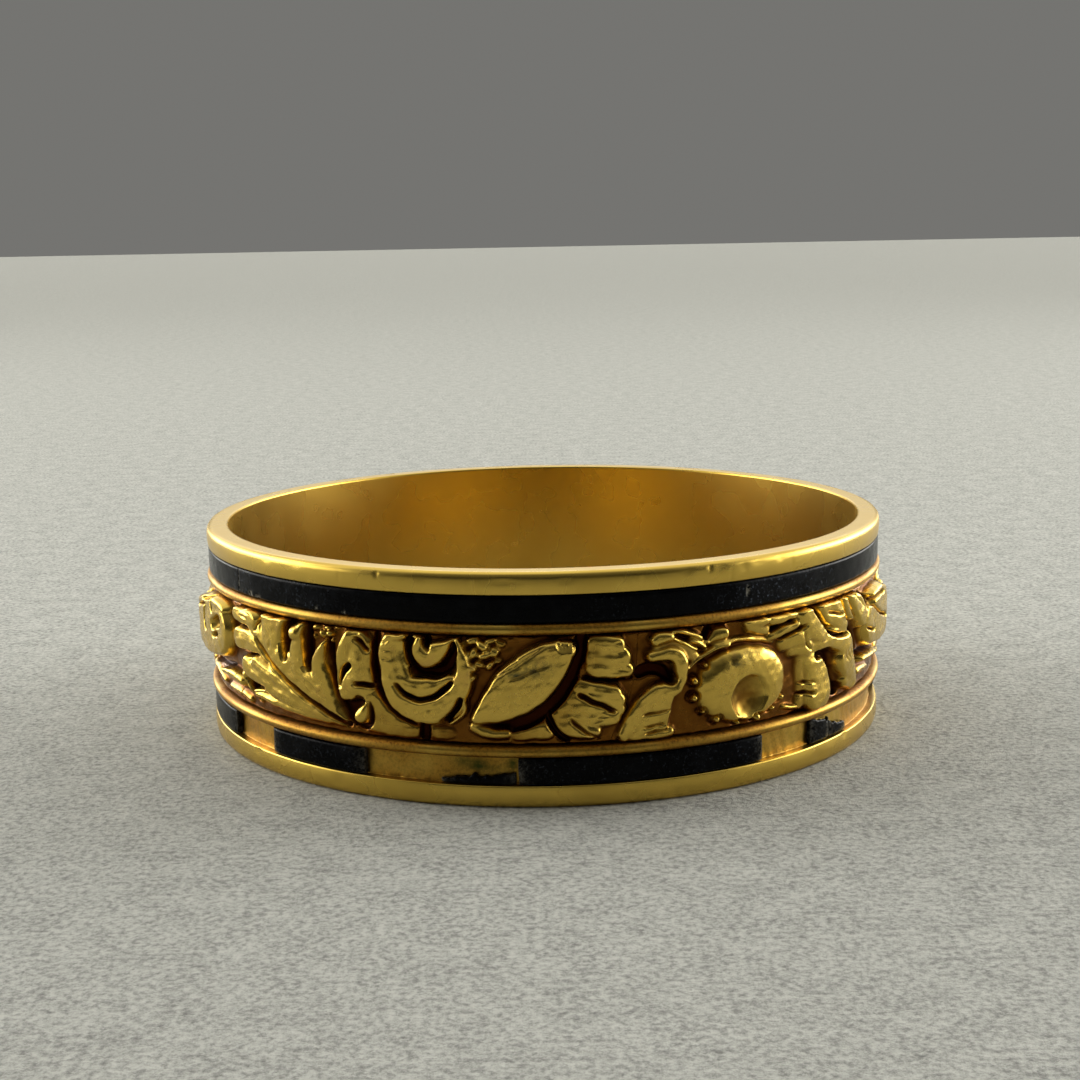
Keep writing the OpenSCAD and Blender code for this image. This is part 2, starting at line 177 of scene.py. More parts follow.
    [-29.9, 0.22, -29.8, 0.06, -27.6, 0.1, 0.03, 0.6],
    [-27.6, 0.1, -26.2, 0.14, -26.9, 0.32, 0.02, 0.45],
    [-30.1, 0.655, -31.4, 0.6, -31.9, 0.46, 0.026, 0.7],
    [-29.1, 0.495, -27.7, 0.49, -26.2, 0.485, 0.022, 0.5],
    [-28.9, 0.91, -28.0, 0.88, -27.0, 0.81, 0.024, 0.45],
    [-18.3, 0.17, -18.2, 0.1, -18.3, 0.03, 0.045, 0.5],
    [-25.6, 0.98, -26.6, 0.62, -25.0, 0.42, 0.028, 0.8],
    [-25.0, 0.42, -23.6, 0.24, -19.5, 0.17, 0.018, 0.6]]),
("rose veins", "hatch", [
    [-24.2, 0.76, -22.4, 0.76, -24.0, 0.9, -22.4, 0.94, 3, 0.008, 0.1],
    [-21.5, 0.36, -21.9, 0.27, -16.4, 0.33, -16.2, 0.24, 5, 0.007, 0.08]]),
("small pieces", "leaf", [
    [-29.6, 0.625, 0.012, -30.8, 0.58, 0.018, -32.0, 0.43, 0.014, 0.9, 0.82],
    [-28.0, 0.955, 0.025, -27.2, 0.91, 0.032, -26.8, 0.85, 0.022, 0.75, 0.65],
    [-27.2, 0.33, 0.008, -27.9, 0.24, 0.078, -28.2, 0.2, 0.072, 0.8, 0.92],
    [-12.0, 0.45, 0.018, -10.9, 0.29, 0.02, -14.2, 0.2, 0.014, 0.88, 0.82],
    [-16.2, 0.1, 0.075, -15.0, 0.1, 0.075, -14.1, 0.1, 0.07, 0.42, 0.36],
    [-17.1, 0.16, 0.014, -17.0, 0.1, 0.018, -17.2, 0.05, 0.014, 0.6, 0.52],
    [-12.6, 0.13, 0.03, -12.0, 0.1, 0.035, -11.6, 0.07, 0.025, 0.28, 0.24]]),
("crumpled ground", "grain", [
    [-36.8, 0.95, 0.07, 0.04, 15, 0.5], [-35.4, 0.9, 0.06, 0.045, -25, 0.56],
    [-34.4, 0.96, 0.065, 0.036, 10, 0.5], [-33.7, 0.92, 0.04, 0.05, 80, 0.72],
    [-37.2, 0.86, 0.045, 0.04, 40, 0.4], [-32.6, 0.97, 0.045, 0.034, 0, 0.44]]),
("nuggets", "grain", [
    [-10.7, 0.95, 0.085, 0.05, 20, 0.62], [-9.1, 0.91, 0.08, 0.05, -30, 0.8],
    [-7.9, 0.95, 0.07, 0.036, 10, 0.6], [-10.5, 0.84, 0.07, 0.05, 60, 0.74],
    [-8.9, 0.82, 0.085, 0.048, 15, 0.78], [-7.4, 0.85, 0.06, 0.06, 70, 0.66],
    [-9.7, 0.74, 0.065, 0.04, -20, 0.7], [-8.1, 0.73, 0.06, 0.042, 40, 0.72],
    [-6.9, 0.77, 0.05, 0.036, 0, 0.52], [-6.5, 0.92, 0.06, 0.045, -15, 0.48],
    [-5.0, 0.95, 0.06, 0.035, 10, 0.34], [-3.4, 0.97, 0.06, 0.025, 0, 0.34],
    [-11.4, 0.9, 0.035, 0.03, 0, 0.42], [-10.9, 0.66, 0.035, 0.03, 0, 0.34],
    [-10.2, 0.6, 0.035, 0.04, 30, 0.3], [-11.2, 0.52, 0.03, 0.035, 0, 0.26]]),
("shell", "leaf", [
    [7.2, 0.89, 0.1, 9.0, 0.89, 0.1, 9.9, 0.885, 0.1, 0.52, 0.92],
    [7.2, 0.79, 0.11, 9.2, 0.79, 0.11, 10.6, 0.785, 0.11, 0.54, 0.92],
    [7.0, 0.69, 0.09, 9.4, 0.68, 0.095, 11.4, 0.675, 0.08, 0.58, 0.92],
    [4.8, 0.52, 0.08, 8.0, 0.49, 0.08, 9.6, 0.47, 0.08, 0.52, 0.94],
    [3.8, 0.42, 0.09, 8.0, 0.41, 0.11, 10.1, 0.41, 0.085, 0.5, 0.94],
    [2.6, 0.33, 0.09, 7.5, 0.32, 0.12, 10.0, 0.33, 0.085, 0.48, 0.92],
    [1.6, 0.25, 0.085, 7.0, 0.25, 0.11, 9.3, 0.26, 0.09, 0.46, 0.88],
    [0.6, 0.17, 0.075, 4.4, 0.16, 0.11, 6.9, 0.125, 0.062, 0.44, 0.74],
    [-4.4, 0.1, 0.06, -2.0, 0.13, 0.09, 0.0, 0.14, 0.085, 0.42, 0.52],
    [-5.2, 0.16, 0.012, -5.2, 0.1, 0.018, -5.5, 0.04, 0.012, 0.58, 0.52]]),
("shell", "groove", [
    [5.4, 0.605, 8.0, 0.57, 12.6, 0.585, 0.014, 0.65],
    [4.7, 0.455, 6.8, 0.39, 9.7, 0.31, 0.02, 0.45],
    [3.4, 0.24, 5.0, 0.12, 7.6, 0.06, 0.012, 0.35],
    [0.2, 0.26, 1.0, 0.12, 3.0, 0.035, 0.026, 0.6],
    [-9.8, 0.14, 3.4, 0.16, 5.25, 1.0, 0.056, 1.0]]),
("shell ribs", "hatch", [
    [9.6, 0.92, 11.0, 0.92, 10.0, 0.68, 11.8, 0.67, 4, 0.007, 0.08],
    [6.4, 0.2, 8.2, 0.24, 7.6, 0.31, 9.6, 0.3, 3, 0.008, 0.1]]),
("oval leaf", "leaf", [
    [-10.2, 0.245, 0.05, -3.2, 0.565, 0.41, 3.0, 0.87, 0.085, 0.88, 0.93],
    [-3.4, 0.78, 0.07, -0.6, 0.86, 0.095, 1.8, 0.88, 0.08, 0.9, 0.93],
    [-10.7, 0.17, 0.05, -8.4, 0.1, 0.06, -5.8, 0.11, 0.045, 0.62, 0.56]]),
("oval leaf", "hatch", [
    [-7.4, 0.64, -5.6, 0.68, -1.6, 0.86, 0.2, 0.92, 8, 0.009, 0.13],
    [1.5, 0.96, 2.1, 0.86, 4.0, 0.97, 3.8, 0.84, 5, 0.014, 0.3],
    [-5.8, 0.6, -3.0, 0.66, -2.4, 0.68, 0.4, 0.76, 4, 0.01, 0.08]]),
("curled leaf", "leaf", [
    [16.2, 0.9, 0.07, 17.0, 0.93, 0.08, 18.0, 0.93, 0.055, 0.82, 0.94],
    [16.6, 0.85, 0.07, 19.4, 0.82, 0.12, 22.0, 0.73, 0.06, 0.66, 0.62],
    [11.2, 0.07, 0.065, 14.0, 0.31, 0.145, 16.2, 0.42, 0.11, 0.65, 0.9],
    [13.6, 0.08, 0.075, 15.8, 0.2, 0.14, 17.0, 0.42, 0.11, 0.68, 0.92],
    [12.4, 0.055, 0.05, 15.5, 0.055, 0.06, 18.1, 0.065, 0.055, 0.62, 0.62],
    [16.6, 0.12, 0.08, 16.9, 0.22, 0.08, 17.3, 0.32, 0.07, 0.66, 0.86],
    [17.0, 0.44, 0.085, 17.9, 0.45, 0.08, 18.9, 0.46, 0.062, 0.9, 0.96]]),
("curled leaf turned edge", "leaf", [
    [15.2, 0.765, 0.05, 21.4, 0.86, 0.11, 19.2, 0.46, 0.05, 0.9, 1.0],
    [17.2, 0.955, 0.02, 19.5, 0.89, 0.026, 22.4, 0.79, 0.018, 1.0, 0.84],
    [18.8, 0.985, 0.028, 21.4, 0.96, 0.034, 24.4, 0.835, 0.02, 0.94, 0.8],
    [21.4, 0.88, 0.018, 22.6, 0.86, 0.024, 23.8, 0.8, 0.018, 0.86, 0.76],
    [24.9, 0.87, 0.05, 26.0, 0.91, 0.075, 27.0, 0.9, 0.06, 0.6, 0.78],
    [20.4, 0.59, 0.02, 23.6, 0.78, 0.026, 27.6, 0.8, 0.026, 0.7, 0.84]]),
("curled leaf", "groove", [
    [13.7, 0.62, 16.2, 0.7, 18.1, 0.56, 0.055, 0.9],
    [13.8, 0.255, 15.6, 0.262, 17.8, 0.275, 0.01, 0.24],
    [14.2, 0.13, 15.6, 0.16, 17.2, 0.145, 0.01, 0.26],
    [14.2, 0.07, 15.8, 0.09, 17.9, 0.09, 0.01, 0.24],
    [24.6, 0.99, 24.7, 0.92, 23.6, 0.88, 0.03, 0.6]]),
("button", "button", None),
("upper petals", "leaf", [
    [31.4, 0.96, 0.06, 32.6, 0.96, 0.085, 34.3, 0.96, 0.06, 0.84, 0.84],
    [31.6, 0.93, 0.06, 33.2, 0.9, 0.085, 34.8, 0.86, 0.055, 0.78, 0.62],
    [35.8, 0.96, 0.07, 38.0, 0.965, 0.075, 40.2, 0.96, 0.06, 0.84, 0.84],
    [35.8, 0.79, 0.055, 38.2, 0.84, 0.06, 40.6, 0.875, 0.045, 0.62, 0.94],
    [38.6, 0.7, 0.08, 40.5, 0.735, 0.1, 42.2, 0.72, 0.1, 0.6, 0.9],
    [40.4, 0.62, 0.07, 41.6, 0.64, 0.09, 43.0, 0.62, 0.1, 0.62, 0.86],
    [25.6, 0.8, 0.03, 30.6, 0.865, 0.034, 36.4, 0.735, 0.024, 0.72, 0.5],
    [30.6, 0.98, 0.015, 30.9, 0.93, 0.018, 31.2, 0.88, 0.014, 0.92, 0.84],
    [38.6, 0.1, 0.018, 40.4, 0.085, 0.03, 42.2, 0.05, 0.018, 0.56, 0.6]]),
("swirl", "leaf", [
    [42.8, 0.94, 0.105, 43.5, 0.8, 0.14, 46.6, 0.69, 0.11, 0.95, 0.9],
    [41.2, 0.61, 0.06, 44.0, 0.63, 0.12, 47.0, 0.63, 0.085, 0.62, 0.9],
    [42.8, 0.53, 0.08, 44.0, 0.5, 0.11, 44.8, 0.46, 0.11, 0.7, 0.88],
    [43.6, 0.5, 0.1, 46.2, 0.38, 0.18, 46.0, 0.16, 0.19, 0.8, 0.92],
    [42.0, 0.56, 0.05, 42.8, 0.34, 0.07, 42.4, 0.1, 0.06, 0.6, 0.56],
    [46.0, 0.62, 0.08, 54.5, 0.7, 0.15, 54.2, 0.38, 0.15, 0.9, 0.92],
    [54.0, 0.4, 0.15, 55.6, 0.28, 0.145, 57.3, 0.14, 0.11, 0.92, 0.75],
    [54.4, 0.16, 0.07, 55.6, 0.15, 0.08, 57.0, 0.12, 0.08, 0.76, 0.7],
    [47.8, 0.96, 0.1, 49.5, 0.85, 0.14, 53.0, 0.735, 0.08, 0.86, 0.94],
    [49.3, 0.97, 0.1, 50.8, 0.93, 0.11, 52.2, 0.82, 0.09, 0.9, 0.95],
    [53.2, 0.98, 0.055, 53.8, 0.86, 0.07, 56.4, 0.76, 0.04, 0.92, 0.86],
    [55.8, 0.97, 0.06, 57.6, 0.86, 0.08, 60.5, 0.72, 0.11, 0.88, 0.95],
    [58.0, 0.96, 0.04, 59.6, 0.9, 0.06, 60.8, 0.82, 0.06, 0.84, 0.92],
    [64.8, 0.64, 0.26, 69.5, 0.66, 0.33, 74.5, 0.62, 0.26, 1.0, 1.1],
    [59.0, 0.75, 0.06, 60.8, 0.72, 0.085, 63.0, 0.64, 0.1, 0.96, 1.04],
    [61.2, 0.285, 0.035, 66.0, 0.275, 0.045, 73.0, 0.21, 0.03, 0.86, 0.78],
    [60.8, 0.16, 0.04, 63.0, 0.16, 0.05, 67.0, 0.13, 0.03, 0.56, 0.52]]),
("swirl", "groove", [
    [45.4, 0.52, 51.2, 0.6, 50.5, 0.22, 0.038, 1.0],
    [50.6, 0.3, 51.2, 0.12, 53.0, 0.1, 0.062, 1.0],
    [44.9, 1.02, 47.0, 0.78, 49.6, 0.675, 0.018, 0.9],
    [49.2, 0.69, 51.0, 0.64, 54.2, 0.635, 0.018, 0.65],
    [52.3, 1.02, 52.2, 0.86, 55.2, 0.71, 0.018, 0.9],
    [54.2, 0.99, 55.2, 0.86, 57.4, 0.75, 0.016, 0.6],
    [48.2, 0.91, 50.0, 0.88, 52.0, 0.85, 0.012, 0.3],
    [41.8, 0.3, 43.2, 0.3, 44.6, 0.28, 0.012, 0.25],
    [41.6, 0.2, 43.0, 0.2, 44.6, 0.18, 0.014, 0.4],
    [37.8, 0.765, 40.0, 0.8, 42.4, 0.84, 0.016, 0.6],
    [35.8, 0.855, 37.5, 0.9, 40.4, 0.915, 0.018, 0.6],
    [42.3, 0.78, 42.2, 0.68, 43.8, 0.6, 0.01, 0.3],
    [55.8, 0.68, 58.6, 0.62, 60.2, 0.4, 0.05, 1.0],
    [61.4, 0.89, 62.6, 0.85, 64.6, 0.83, 0.055, 0.9],
    [65.0, 0.84, 68.0, 0.86, 71.6, 0.84, 0.018, 0.5],
    [64.6, 0.78, 67.0, 0.7, 70.4, 0.62, 0.018, 0.45],
    [61.6, 0.6, 63.2, 0.57, 65.0, 0.53, 0.014, 0.45],
    [70.4, 0.62, 73.0, 0.6, 76.4, 0.52, 0.018, 0.55],
    [59.6, 0.36, 64.0, 0.35, 73.0, 0.29, 0.016, 0.55]]),
("swirl ribs", "hatch", [
    [52.6, 0.46, 54.6, 0.34, 54.4, 0.5, 56.2, 0.36, 3, 0.009, 0.1]]),
]

# The button flower's plate with its dimple
PLATE = {"angle": 30.45, "height": 0.412, "half_width": 0.520, "half_height": 0.360, "power": 2.25,
         "rise": 0.92, "dome": 0.08}
DIMPLE = {"angle": 30.9, "height": 0.300, "radius": 0.205, "depth": 0.62}
# Knobs round the plate's edge. Columns: degrees round it from its right end, radius
KNOBS = [[140, 0.030], [165, 0.048], [190, 0.045], [215, 0.030], [236, 0.046], [262, 0.030], [286, 0.046],
         [308, 0.034], [326, 0.044]]
# across and up: where the knobs' middles lie, in shares of the plate's half width and half height
KNOB = {"across": 1.04, "up": 0.97, "rise": 0.78, "moat_width": 0.012, "moat_depth": 0.35}

REPEAT = 180.0            # degrees taken by one repeat of the pattern
SHARES_PER_DEGREE = 0.0621  # a degree on the frieze's face, in shares of its height
LEAF_EDGE = 0.055         # width of a leaf's rounded edge
LEAF_CROWN = 0.50         # how much a leaf swells towards its middle
LEAF_MIDDLE = 0.12        # a leaf swells until so far in from its outline
LEAF_SPREAD = 0.014       # how much each leaf spreads beyond its stroke
LEAF_MELT = 60            # how sharply the strokes of one leaf give way to each other
VEIN_PITCH, VEIN_RISE = 0.042, 0.0035  # chased lines that follow each stroke
GROUND_RISE = 0.30        # height of the tooled ground between the leaves
EDGE_GAP = 0.02           # the relief dies away this close to the wires
HAND_WAVER = 0.008        # how far the carver's outlines waver
WAVER_LENGTHS = 0.31, 0.27  # length of those waves, across and up
TOOLING = 0.10, 0.41      # unevenness of the ground and the length of its waves
SHARP, SOFT = 0.3, 0.7    # shares of the relief as cut and of the relief blurred by a point each way
# The seam between the frieze's two lengths, in the ground between shell and curled leaf: height, angle
SEAM = np.array([[0.0, 9.2], [0.07, 9.6], [0.15, 10.2], [0.26, 11.2], [0.33, 11.8], [0.41, 12.2], [0.6, 13.0],
                 [0.7, 13.3], [1.0, 13.5]])
PATTERN_START = -57.7     # where the frieze's first length begins


def curve(first, bend, last, t):
    """Quadratic curve from first to last drawn towards bend, which weigh (1-t)^2, t^2 and 2t(1-t)."""
    return first * (1 - t) ** 2 + 2 * bend * t * (1 - t) + last * t * t


def nearest_on_stroke(angles, heights, angle, height):
    """Place t along a stroke nearest to each point, and the distance, in shares of the height.

    The nearest of nine trial places is refined by four Newton steps on the squared distance.
    """
    first, bend, last = (np.array([a * SHARES_PER_DEGREE, h]) for a, h in zip(angles, heights))
    across, up = angle * SHARES_PER_DEGREE, height
    place = np.zeros(angle.shape)
    least = np.full(angle.shape, np.inf)
    for trial in np.linspace(0, 1, 9):
        x, y = curve(first, bend, last, trial)
        apart = (x - across) ** 2 + (y - up) ** 2
        place = np.where(apart < least, trial, place)
        least = np.minimum(least, apart)
    speed, turn = 2 * (bend - first), 2 * (last - 2 * bend + first)
    for _ in range(4):
        x = curve(first[0], bend[0], last[0], place) - across
        y = curve(first[1], bend[1], last[1], place) - up
        dx, dy = speed[0] + turn[0] * place, speed[1] + turn[1] * place
        slope = x * dx + y * dy
        bending = dx * dx + dy * dy + x * turn[0] + y * turn[1]
        place = np.clip(place - slope / np.maximum(bending, 0.3 * (dx * dx + dy * dy) + 1e-9), 0, 1)
    x = curve(first[0], bend[0], last[0], place) - across
    y = curve(first[1], bend[1], last[1], place) - up
    return place, np.hypot(x, y)


def within_reach(angle, angles, reach):
    """For a stroke and its copy one repeat on: how far it is moved, and the grid's columns it may touch."""
    reach = reach / SHARES_PER_DEGREE + 0.3
    for moved in (0.0, REPEAT):
        near = (angle.max(0) > min(angles) + moved - reach) & (angle.min(0) < max(angles) + moved + reach)
        if near.any():
            yield moved, near


def raise_leaves(relief, rows, angle, height):
    """Leaves: each stroke is a band as wide as its row says, and strokes of one leaf melt together.

    The rise is the strokes' own, weighed by the exponential of how deep the point lies in each. It swells
    towards the middle and falls to nothing at the outline along a quarter circle.
    """
    inside = np.full(angle.shape, -1.0)
    weight, rise = np.full(angle.shape, 1e-9), np.zeros(angle.shape)
    for a0, h0, w0, a1, h1, w1, a2, h2, w2, rise_first, rise_last in rows:
        for moved, near in within_reach(angle, (a0, a1, a2), max(w0, w1, w2)):
            t, apart = nearest_on_stroke((a0, a1, a2), (h0, h1, h2), angle[:, near] - moved, height[:, near])
            deep = curve(w0, w1, w2, t) + LEAF_SPREAD - apart
            share = np.exp(LEAF_MELT * np.clip(deep, -0.1, 0.3))
            inside[:, near] = np.maximum(inside[:, near], deep)
            weight[:, near] += share
            vein = VEIN_RISE * np.cos(2 * np.pi * apart / VEIN_PITCH)
            rise[:, near] += share * (rise_first + (rise_last - rise_first) * t + vein)
    edge = np.clip(inside / LEAF_EDGE, 0, 1)
    rise = rise / weight + LEAF_CROWN * (np.clip(inside, 0, LEAF_MIDDLE) - LEAF_MIDDLE / 2)
    return np.maximum(relief, rise * np.sqrt(1 - (1 - edge) ** 2) * (inside > 0))


def cut_grooves(relief, rows, angle, height, fade=0.12, least=0.5):
    """Grooves: each is a rounded trough along a curve, shallower towards its ends over the share fade."""
    relief = relief.copy()
    for a0, h0, a1, h1, a2, h2, half_width, depth in rows:
        for moved, near in within_reach(angle, (a0, a1, a2), half_width):
            t, apart = nearest_on_stroke((a0, a1, a2), (h0, h1, h2), angle[:, near] - moved, height[:, near])
            ends = least + (1 - least) * np.clip(np.minimum(t, 1 - t) / fade, 0, 1)
            trough = depth * ends * np.clip(1 - (apart / half_width) ** 2, 0, 1) ** 0.7
            relief[:, near] = np.maximum(relief[:, near] - trough, 0)
    return relief


def cut_hatches(relief, rows, angle, height):
    """Hatches: fine grooves set out evenly from a first line to a last one, which fade away at their ends."""
    for a0, h0, b0, k0, a1, h1, b1, k1, count, half_width, depth in rows:
        s = np.linspace(0, 1, int(count))[:, None]
        first = np.array([[a0, h0, b0, k0]]) * (1 - s) + np.array([[a1, h1, b1, k1]]) * s
        lines = [[a, h, (a + b) / 2, (h + k) / 2 + half_width, b, k, half_width, depth]
                 for a, h, b, k in first]
        relief = cut_grooves(relief, lines, angle, height, fade=0.5, least=0.0)
    return relief


def raise_grains(relief, rows, angle, height):
    """Grains: rounded nuggets, each a superellipse turned by its own angle."""
    for a, h, half_length, half_height, turn, rise in rows:
        c, s = np.cos(np.radians(turn)), np.sin(np.radians(turn))
        for moved, near in within_reach(angle, (a, a), half_length):
            x, y = (angle[:, near] - moved - a) * SHARES_PER_DEGREE, height[:, near] - h
            along, across = (x * c + y * s) / half_length, (y * c - x * s) / half_height
            out = (np.abs(along) ** 2.5 + np.abs(across) ** 2.5) ** 0.4
            relief[:, near] = np.maximum(relief[:, near], rise * np.clip(1 - out ** 3, 0, 1) ** 0.6)
    return relief


def raise_button(relief, rows, angle, height):
    """Button flower: a slightly domed superellipse plate with a dimple, and knobs in moats round its edge."""
    plate, dimple, knob = PLATE, DIMPLE, KNOB
    for moved, near in within_reach(angle, (plate["angle"], plate["angle"]), plate["half_width"] + 0.1):
        a, h, field = angle[:, near] - moved, height[:, near], relief[:, near]
        x = (a - plate["angle"]) * SHARES_PER_DEGREE / plate["half_width"]
        y = (h - plate["height"]) / plate["half_height"]
        out = (np.abs(x) ** plate["power"] + np.abs(y) ** plate["power"]) ** (1 / plate["power"])
        top = plate["rise"] + plate["dome"] * np.clip(1 - out ** 2, 0, 1)
        top = top * np.sqrt(np.clip(1 - out ** 8, 0, 1))
        out = np.hypot((a - dimple["angle"]) * SHARES_PER_DEGREE, h - dimple["height"]) / dimple["radius"]
        field = np.maximum(field, top - dimple["depth"] * np.clip(1 - out ** 2.6, 0, 1) ** 0.8)
        for degrees, radius in KNOBS:
            turn = np.radians(degrees)
            across = plate["angle"] + knob["across"] * plate["half_width"] * np.cos(turn) / SHARES_PER_DEGREE
            up = plate["height"] + knob["up"] * plate["half_height"] * np.sin(turn)
            apart = np.hypot((a - across) * SHARES_PER_DEGREE, h - up)
            moat = np.clip(1 - ((apart - radius) / knob["moat_width"]) ** 2, 0, 1)
            field = np.maximum(field - knob["moat_depth"] * moat, 0)
            field = np.maximum(field, knob["rise"] * np.clip(1 - (apart / radius) ** 3, 0, 1) ** 0.5)
        relief[:, near] = field
    return relief


STROKES = {"leaf": raise_leaves, "groove": cut_grooves, "hatch": cut_hatches, "grain": raise_grains,
           "button": raise_button}


def cast_relief(angle, height):
    """Height of the cast pattern at each point, from 0 at its ground to 1.

    The motifs are laid on one after another. The points are first moved a little by soft waves, so that every
    outline wavers like hand work.
    """
    angle, height = np.broadcast_arrays(angle, height)
    across = angle * SHARES_PER_DEGREE
    wavered = angle + HAND_WAVER / SHARES_PER_DEGREE * ripple(across, height, WAVER_LENGTHS[0])
    height = height + HAND_WAVER * ripple(height + 0.7, across, WAVER_LENGTHS[1])
    relief = GROUND_RISE * (1 + TOOLING[0] * ripple(across, height, TOOLING[1]))
    for _, stroke, rows in PATTERN:
        relief = STROKES[stroke](relief, rows, wavered, height)
    relief = SHARP * relief + SOFT * blurred(relief, 1, 1)
    return relief * np.clip(np.minimum(height, 1 - height) / EDGE_GAP, 0, 1)


def blurred(field, half_rows, half_columns):
    """Field whose every point is the mean over the window round it, taken twice."""
    for axis, half in ((0, half_rows), (1, half_columns)) * 2:
        padding = [(half + 1, half) if n == axis else (0, 0) for n in (0, 1)]
        total = np.cumsum(np.pad(field, padding, mode="edge"), axis)
        window = 2 * half + 1
        first, last = (total.take(range(begin, begin + field.shape[axis]), axis) for begin in (0, window))
        field = (last - first) / window
    return field


def bells(angle, height, rows):
    """Sum of spots that fade as bell curves both ways: angle, height, the two half widths and strength."""
    return sum(strength * np.exp(-((angle - a) / half_angle) ** 2 - ((height - h) / half_height) ** 2)
               for a, h, half_angle, half_height, strength in rows)


def ripple(across, up, pitch):
    """Soft unevenness from -1 to 1: six crossed waves, their lengths round the pitch, in the points' unit."""
    waves = [[1.0, 0.3, 0.1], [-0.4, 1.1, 1.9], [0.7, -0.8, 3.1],
             [1.6, 0.9, 4.6], [-1.3, 1.5, 0.7], [0.2, -1.9, 2.4]]
    total = sum(np.sin(2 * np.pi * (u * across + v * up) / pitch + shift) for u, v, shift in waves)
    return total / len(waves)


# Meshes


def round_corners(corners, steps=4, beyond=1.33):
    """Outline through corners of [radius, height, rounding], each of which becomes a smooth arc.

    A point beyond the arc on either side, at so many times its rounding, keeps the flats beside it flat.
    """
    corners = np.array(corners, float)
    points = []
    for before, here, after in zip(np.roll(corners, 1, 0), corners, np.roll(corners, -1, 0)):
        if here[2] <= 0:
            points.append(here[:2])
            continue
        into, out = here[:2] - before[:2], after[:2] - here[:2]
        into, out = into / np.hypot(*into) * here[2], out / np.hypot(*out) * here[2]
        points.append(here[:2] - into * beyond)
        for t in np.linspace(0, 1, steps + 1):
            points.append(curve(here[:2] - into, here[:2], here[:2] + out, t))
        points.append(here[:2] + out * beyond)
    return np.array(points)


def fill_in(outline, longest, longest_bore, bore_radius):
    """Closed outline with points added: no side is longer than longest, or longest_bore along the bore."""
    filled = []
    for start, end in zip(outline, np.roll(outline, -1, 0)):
        limit = longest_bore if max(start[0], end[0]) < bore_radius + 0.01 else longest
        count = max(1, int(np.ceil(np.hypot(*(end - start)) / limit)))
        filled.extend(start + (end - start) * i / count for i in range(count))
    return np.array(filled)


def polar(radius, angle, z):
    """Points in metres, from radius and height in mm and the angle from the front towards +X."""
    a = np.radians(angle)
    radius, a, z = np.broadcast_arrays(radius, a, z)
    return np.stack([radius * np.sin(a), -radius * np.cos(a), z], -1) * MM


def add_object(name, data, place=None):
    """Object with its data in the scene, at the origin or placed by a matrix."""
    thing = bpy.data.objects.new(name, data)
    if place is not None:
        thing.matrix_world = place
    bpy.context.scene.collection.objects.link(thing)
    return thing


def add_piece(name, points, across, up, material, stands_for, ring, values):
    """Closed skin over a grid of points: columns go round the ring and rows go round a closed profile.

    A ring closes on itself; any other piece has a flat cap at both ends. The UV map holds across and up, the
    lengths along the two directions in mm, one more of each than there are points. values are numbers kept at
    each point, by the name of their attribute.
    """
    columns, rows = points.shape[:2]
    steps = columns if ring else columns - 1
    i, j = np.meshgrid(np.arange(steps), np.arange(rows), indexing="ij")
    after, above = (i + 1) % columns, (j + 1) % rows
    quads = [i * rows + j, after * rows + j, after * rows + above, i * rows + above]
    quads = np.stack(quads, -1).reshape(-1, 4)
    faces = quads.tolist()
    corners = [np.stack([across[i + right], up[j + top]], -1)
               for right, top in ((0, 0), (1, 0), (1, 1), (0, 1))]
    uv = np.stack(corners, -2).reshape(-1, 2)
    if not ring:
        faces.append(list(range(rows)))
        faces.append([(columns - 1) * rows + n for n in range(rows - 1, -1, -1)])
        caps = np.stack([up[:rows], up[:rows]], -1)
        uv = np.concatenate([uv, caps, caps[::-1]])
    mesh = bpy.data.meshes.new(name)
    mesh.from_pydata(points.reshape(-1, 3).tolist(), [], faces)
    smooth = np.ones(len(faces), bool)
    smooth[len(quads):] = False
    mesh.polygons.foreach_set("use_smooth", smooth)
    mesh.uv_layers.new(name="lengths").data.foreach_set("uv", uv.ravel().astype(np.float32))
    for label, value in values.items():
        spread = np.ascontiguousarray(np.broadcast_to(value, (columns, rows)), np.float32)
        mesh.attributes.new(label, "FLOAT", "POINT").data.foreach_set("value", spread.ravel())
    mesh.materials.append(material)
    mesh.update()
    piece = add_object(name, mesh)
    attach(piece, "root")
    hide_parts(*stands_for)


def lengths_along(outline):
    """Distance along a closed outline to each of its points, and to the first again."""
    sides = np.hypot(*(np.roll(outline, -1, 0) - outline).T)
    return np.concatenate([[0.0], np.cumsum(sides)])


# Materials

# Plain names for the kinds of node that need settings or recur
NODE_KINDS = {
    "noise": ("TexNoise", {}),
    "range": ("MapRange", {"interpolation_type": "SMOOTHSTEP"}),
    "blend": ("Mix", {"data_type": "RGBA"}),
    "add": ("Math", {"operation": "ADD"}),
    "subtract": ("Math", {"operation": "SUBTRACT"}),
    "multiply": ("Math", {"operation": "MULTIPLY"}),
    "maximum": ("Math", {"operation": "MAXIMUM"}),
    "absolute": ("Math", {"operation": "ABSOLUTE"}),
    "stretch": ("VectorMath", {"operation": "MULTIPLY"}),
}


def colour(code):
    """Linear colour with full alpha from an sRGB hex value."""
    s = np.array([int(code[i:i + 2], 16) / 255 for i in (0, 2, 4)])
    return (*np.where(s <= 0.04045, s / 12.92, ((s + 0.055) / 1.055) ** 2.4).tolist(), 1.0)


